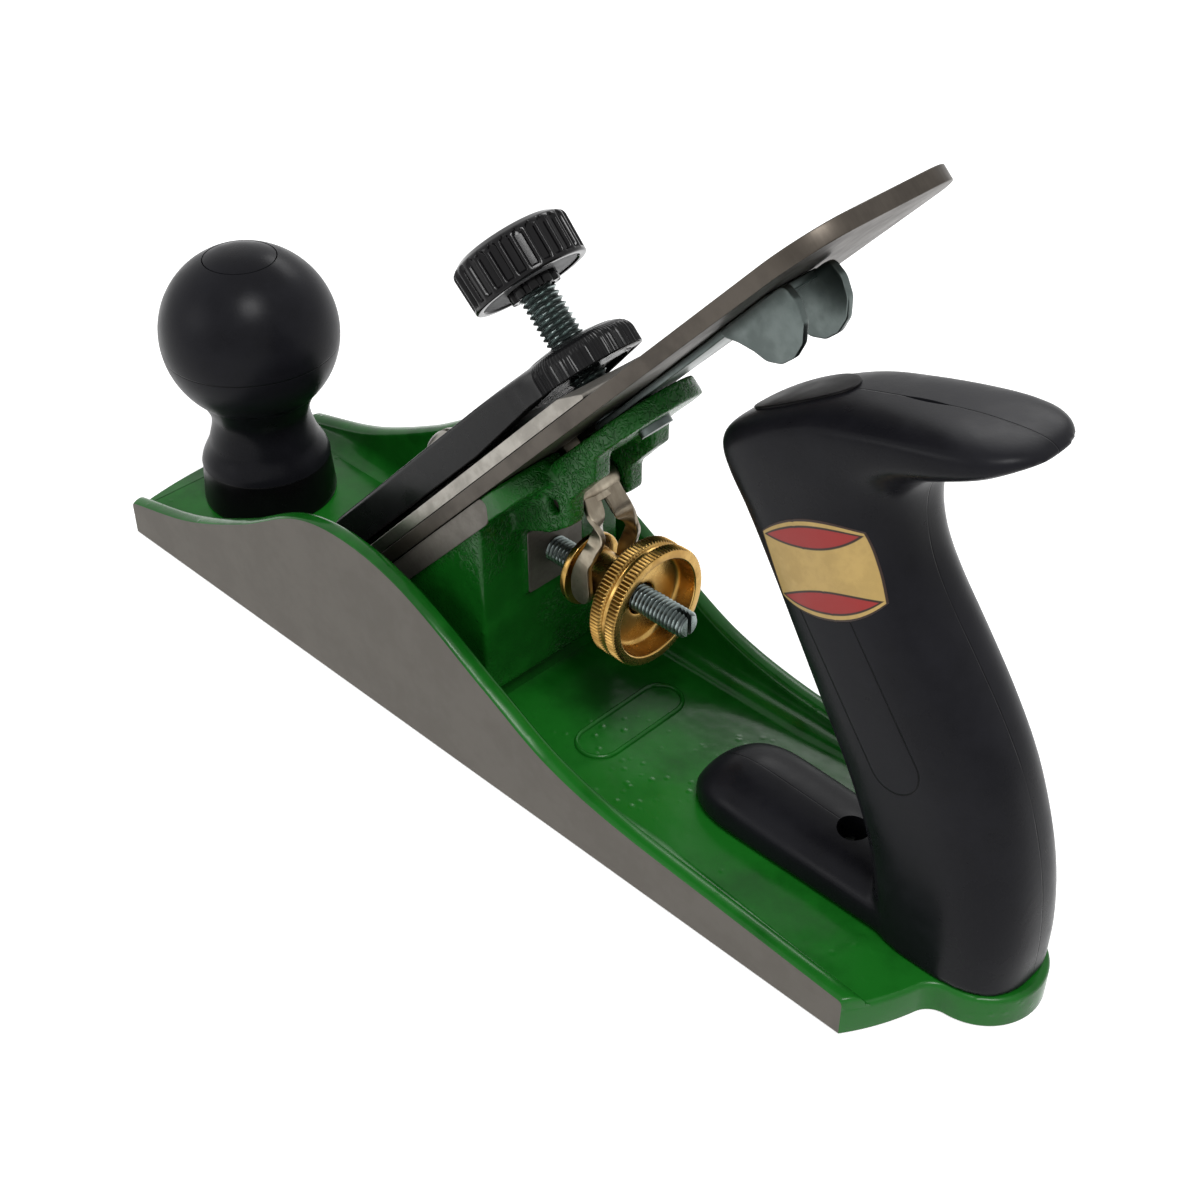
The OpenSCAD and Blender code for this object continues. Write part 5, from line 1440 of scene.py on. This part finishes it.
def build_stage(sizes, colours):
    """Camera at the photograph's angle, a pale floor, a white world for the camera and soft lights."""
    scene = bpy.context.scene
    scene.view_settings.view_transform = "Standard"
    camera = bpy.data.cameras.new("camera")
    camera.sensor_width = 36.0
    camera.lens = 53.465
    camera.clip_start = 0.02
    camera.clip_end = 20.0
    eye = new_object("camera", camera)
    right, up, back = (0.7124, 0.7018, -0.0026), (-0.4293, 0.4387, 0.7894), (0.5552, -0.5612, 0.6139)
    turn = Matrix((right, up, back)).transposed().to_4x4()
    eye.matrix_world = Matrix.Translation((0.22202, -0.21096, 0.26609)) @ turn
    scene.camera = eye

    world = bpy.data.worlds.new("studio")
    scene.world = world
    world.use_nodes = True
    n = Nodes(world.node_tree)
    world.node_tree.nodes.clear()
    out = n.add("ShaderNodeOutputWorld")
    strength = n.ramp(background_ray(n), sizes.world_light, 1.0)
    glow = n.add("ShaderNodeBackground", {"Color": (1, 1, 1, 1), "Strength": strength})
    n.tree.links.new(glow.outputs[0], out.inputs[0])

    mesh = bpy.data.meshes.new("floor")
    mesh.from_pydata([(-3, -3, -0.0005), (3, -3, -0.0005), (3, 3, -0.0005), (-3, 3, -0.0005)], [], [(0, 1, 2, 3)])
    floor = new_object("floor", mesh)
    mat = bpy.data.materials.new("pale_floor")
    mat.use_nodes = True
    mat.node_tree.nodes.clear()
    n = Nodes(mat.node_tree)
    out = n.add("ShaderNodeOutputMaterial")
    matte = n.add("ShaderNodeBsdfDiffuse", {"Color": (0.85, 0.85, 0.85, 1)}).outputs[0]
    white = n.add("ShaderNodeEmission", {"Color": (1, 1, 1, 1), "Strength": sizes.floor_white}).outputs[0]
    both = n.add("ShaderNodeAddShader", {0: matte, 1: white}).outputs[0]
    pick = n.add("ShaderNodeMixShader", {0: background_ray(n), 1: matte, 2: both})
    n.tree.links.new(pick.outputs[0], out.inputs[0])
    mesh.materials.append(mat)
    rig.stage(floor)

    lamps = [
        ("key", (0.48, -0.25, 1.07), (0.36, 0.36), sizes.key_light),
        ("fill", (-0.5, -0.9, 0.5), (0.5, 0.4), sizes.fill_light),
        ("back", (-0.35, 0.85, 0.65), (0.5, 0.25), sizes.back_light),
    ]
    for name, spot, size, power in lamps:
        data = bpy.data.lights.new(name, "AREA")
        data.shape = "RECTANGLE"
        data.size, data.size_y = size
        data.energy = power
        lamp = new_object(name, data)
        aim = -np.array(spot) + np.array([0, 0, 0.04])
        z = -aim / np.linalg.norm(aim)
        x = np.cross([0, 0, 1.0], z)
        x /= np.linalg.norm(x)
        y = np.cross(z, x)
        lamp.matrix_world = Matrix.Translation(spot) @ Matrix((x, y, z)).transposed().to_4x4()


# ---- the add-on's parts ----


def size_value(name, words, value):
    return bpy.props.FloatProperty(name=name, description=words, default=value, min=0.0, unit="LENGTH", precision=4)


def count_value(name, words, value):
    return bpy.props.IntProperty(name=name, description=words, default=value, min=3)


def light_value(name, words, value):
    return bpy.props.FloatProperty(name=name, description=words, default=value, min=0.0)


def colour_value(name, words, value):
    return bpy.props.FloatVectorProperty(
        name=name, description=words, default=value, size=3, min=0.0, max=1.0, subtype="COLOR"
    )


class PlaneSizes(bpy.types.PropertyGroup):
    """Sizes and counts of the visible detail."""

    rim_round: size_value("Rim", "Height of the rounding over the cheeks' inner rim", 1.7 * MM)
    cove_radius: size_value("Cove", "Radius between the floor and the cheeks", 4.5 * MM)
    cast_grain: size_value("Frog faces", "Size of the faces of the frog's skin", 0.6 * MM)
    handle_grain: size_value("Handle faces", "Size of the faces of the rear handle's skin", 0.62 * MM)
    knurl_teeth: count_value("Teeth", "Teeth round the adjuster wheel", 96)
    clamp_flutes: count_value("Flutes", "Flutes round the clamp knob", 28)
    hub_lobes: count_value("Lobes", "Lobes of the clamp knob's hub", 10)
    end_ribs: count_value("Ribs", "Ribs round the lever cap's end", 110)
    world_light: light_value("World", "Strength of the world's even light", 0.4)
    floor_white: light_value("Floor", "How far the floor is lifted to white for the camera", 0.66)
    key_light: light_value("Key", "Power of the lamp above the plane", 9.0)
    fill_light: light_value("Fill", "Power of the lamp on the near side", 1.6)
    back_light: light_value("Back", "Power of the lamp beyond the plane", 2.0)


class PlaneColours(bpy.types.PropertyGroup):
    """Colours of the finishes."""

    green: colour_value("Green", "Green enamel", linear(22, 98, 26))
    deep_green: colour_value("Deep green", "Green enamel in its darker patches", linear(14, 76, 18))
    ground_iron: colour_value("Ground iron", "Machined iron", linear(105, 101, 95))
    dark_iron: colour_value("Dark iron", "Machined iron in its pores", linear(86, 82, 76))
    handle_black: colour_value("Handle", "Black plastic of the handles", linear(25, 25, 29))
    gloss_black: colour_value("Knob", "Glossy black plastic of the clamp knob", linear(12, 11, 13))
    enamel_black: colour_value("Lever cap", "Black enamel of the lever cap", linear(22, 22, 23))
    disc_grey: colour_value("Disc", "Grey disc under the clamp knob", linear(110, 110, 112))
    brass: colour_value("Brass", "Turned brass", linear(190, 156, 92))
    dark_brass: colour_value("Dark brass", "Brass in its darker patches", linear(150, 114, 56))
    zinc: colour_value("Zinc", "Zinc plate", linear(168, 180, 178))
    dark_zinc: colour_value("Dark zinc", "Zinc plate in its darker patches", linear(98, 108, 106))
    ear_zinc: colour_value("Ears", "Dull zinc plate of the lateral lever", linear(104, 112, 110))
    dark_ear_zinc: colour_value("Dark ears", "Lateral lever in its darker patches", linear(72, 80, 78))
    nickel: colour_value("Nickel", "Nickel plated sheet", linear(176, 168, 150))
    dark_nickel: colour_value("Dark nickel", "Nickel plate in its darker patches", linear(96, 84, 70))
    blade: colour_value("Iron", "Tool steel of the iron", linear(84, 78, 71))
    dark_blade: colour_value("Dark steel", "Tool steel in its darker patches", linear(56, 51, 46))
    cap_iron: colour_value("Cap iron", "Steel of the cap iron", linear(168, 164, 156))
    dark_cap_iron: colour_value("Dark cap iron", "Steel of the cap iron in its darker patches", linear(108, 104, 98))
    label_gold: colour_value("Label gold", "Gold of the label", linear(190, 160, 98))
    label_red: colour_value("Label red", "Red of the label", linear(150, 46, 44))


def operator(name, label, words, build):
    """An operator class that runs one build function with the scene's sizes and colours."""

    def execute(self, context):
        build(context.scene.plane_sizes, context.scene.plane_colours)
        return {"FINISHED"}

    return type(
        "OBJECT_OT_" + name,
        (bpy.types.Operator,),
        {"bl_idname": "object." + name, "bl_label": label, "__doc__": words, "execute": execute},
    )


STEPS = [
    operator("plane_stage", "Stage", "Adds the camera, the floor and the lights", build_stage),
    operator("plane_casting", "Sole casting", "Adds the painted sole casting", build_casting),
    operator("plane_frog", "Frog", "Adds the frog's casting and its machined faces", build_frog),
    operator("plane_adjuster", "Depth adjuster", "Adds the stud, the knurled wheel and the yoke", build_adjuster),
    operator("plane_lateral", "Lateral lever", "Adds the lateral lever", build_lateral),
    operator("plane_iron", "Iron", "Adds the iron and the cap iron", build_iron),
    operator("plane_lever_cap", "Lever cap", "Adds the lever cap", build_lever_cap),
    operator("plane_clamp", "Clamp", "Adds the clamp screw and its knob", build_clamp),
    operator("plane_front_knob", "Front knob", "Adds the front knob, its cap and its ring", build_front_knob),
    operator("plane_rear_handle", "Rear handle", "Adds the rear handle, its cap and its label", build_rear_handle),
    operator("plane_fasteners", "Fasteners", "Finishes the screws, studs and nuts", build_fasteners),
]


class VIEW3D_PT_smoothing_plane(bpy.types.Panel):
    """Lists the plane's pieces and sizes."""

    bl_label = "Smoothing plane"
    bl_idname = "VIEW3D_PT_smoothing_plane"
    bl_space_type = "VIEW_3D"
    bl_region_type = "UI"
    bl_category = "Smoothing plane"

    def draw(self, context):
        for step in STEPS:
            self.layout.operator(step.bl_idname)
        for values in (context.scene.plane_sizes, context.scene.plane_colours):
            for key in type(values).__annotations__:
                self.layout.prop(values, key)


CLASSES = [PlaneSizes, PlaneColours, *STEPS, VIEW3D_PT_smoothing_plane]


def register():
    for cls in CLASSES:
        bpy.utils.register_class(cls)
    bpy.types.Scene.plane_sizes = bpy.props.PointerProperty(type=PlaneSizes)
    bpy.types.Scene.plane_colours = bpy.props.PointerProperty(type=PlaneColours)


def unregister():
    del bpy.types.Scene.plane_sizes
    del bpy.types.Scene.plane_colours
    for cls in reversed(CLASSES):
        bpy.utils.unregister_class(cls)


def main():
    """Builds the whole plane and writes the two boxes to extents.json."""
    register()
    for step in STEPS:
        getattr(bpy.ops.object, step.bl_idname.split(".")[1])()
    boxes = [[[float(v) for v in corner] for corner in box] for box in (CAD_BOX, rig.bounds())]
    with open("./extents.json", "w") as out:
        json.dump({"cad": boxes[0], "visual": boxes[1]}, out)


if __name__ == "__main__":
    main()
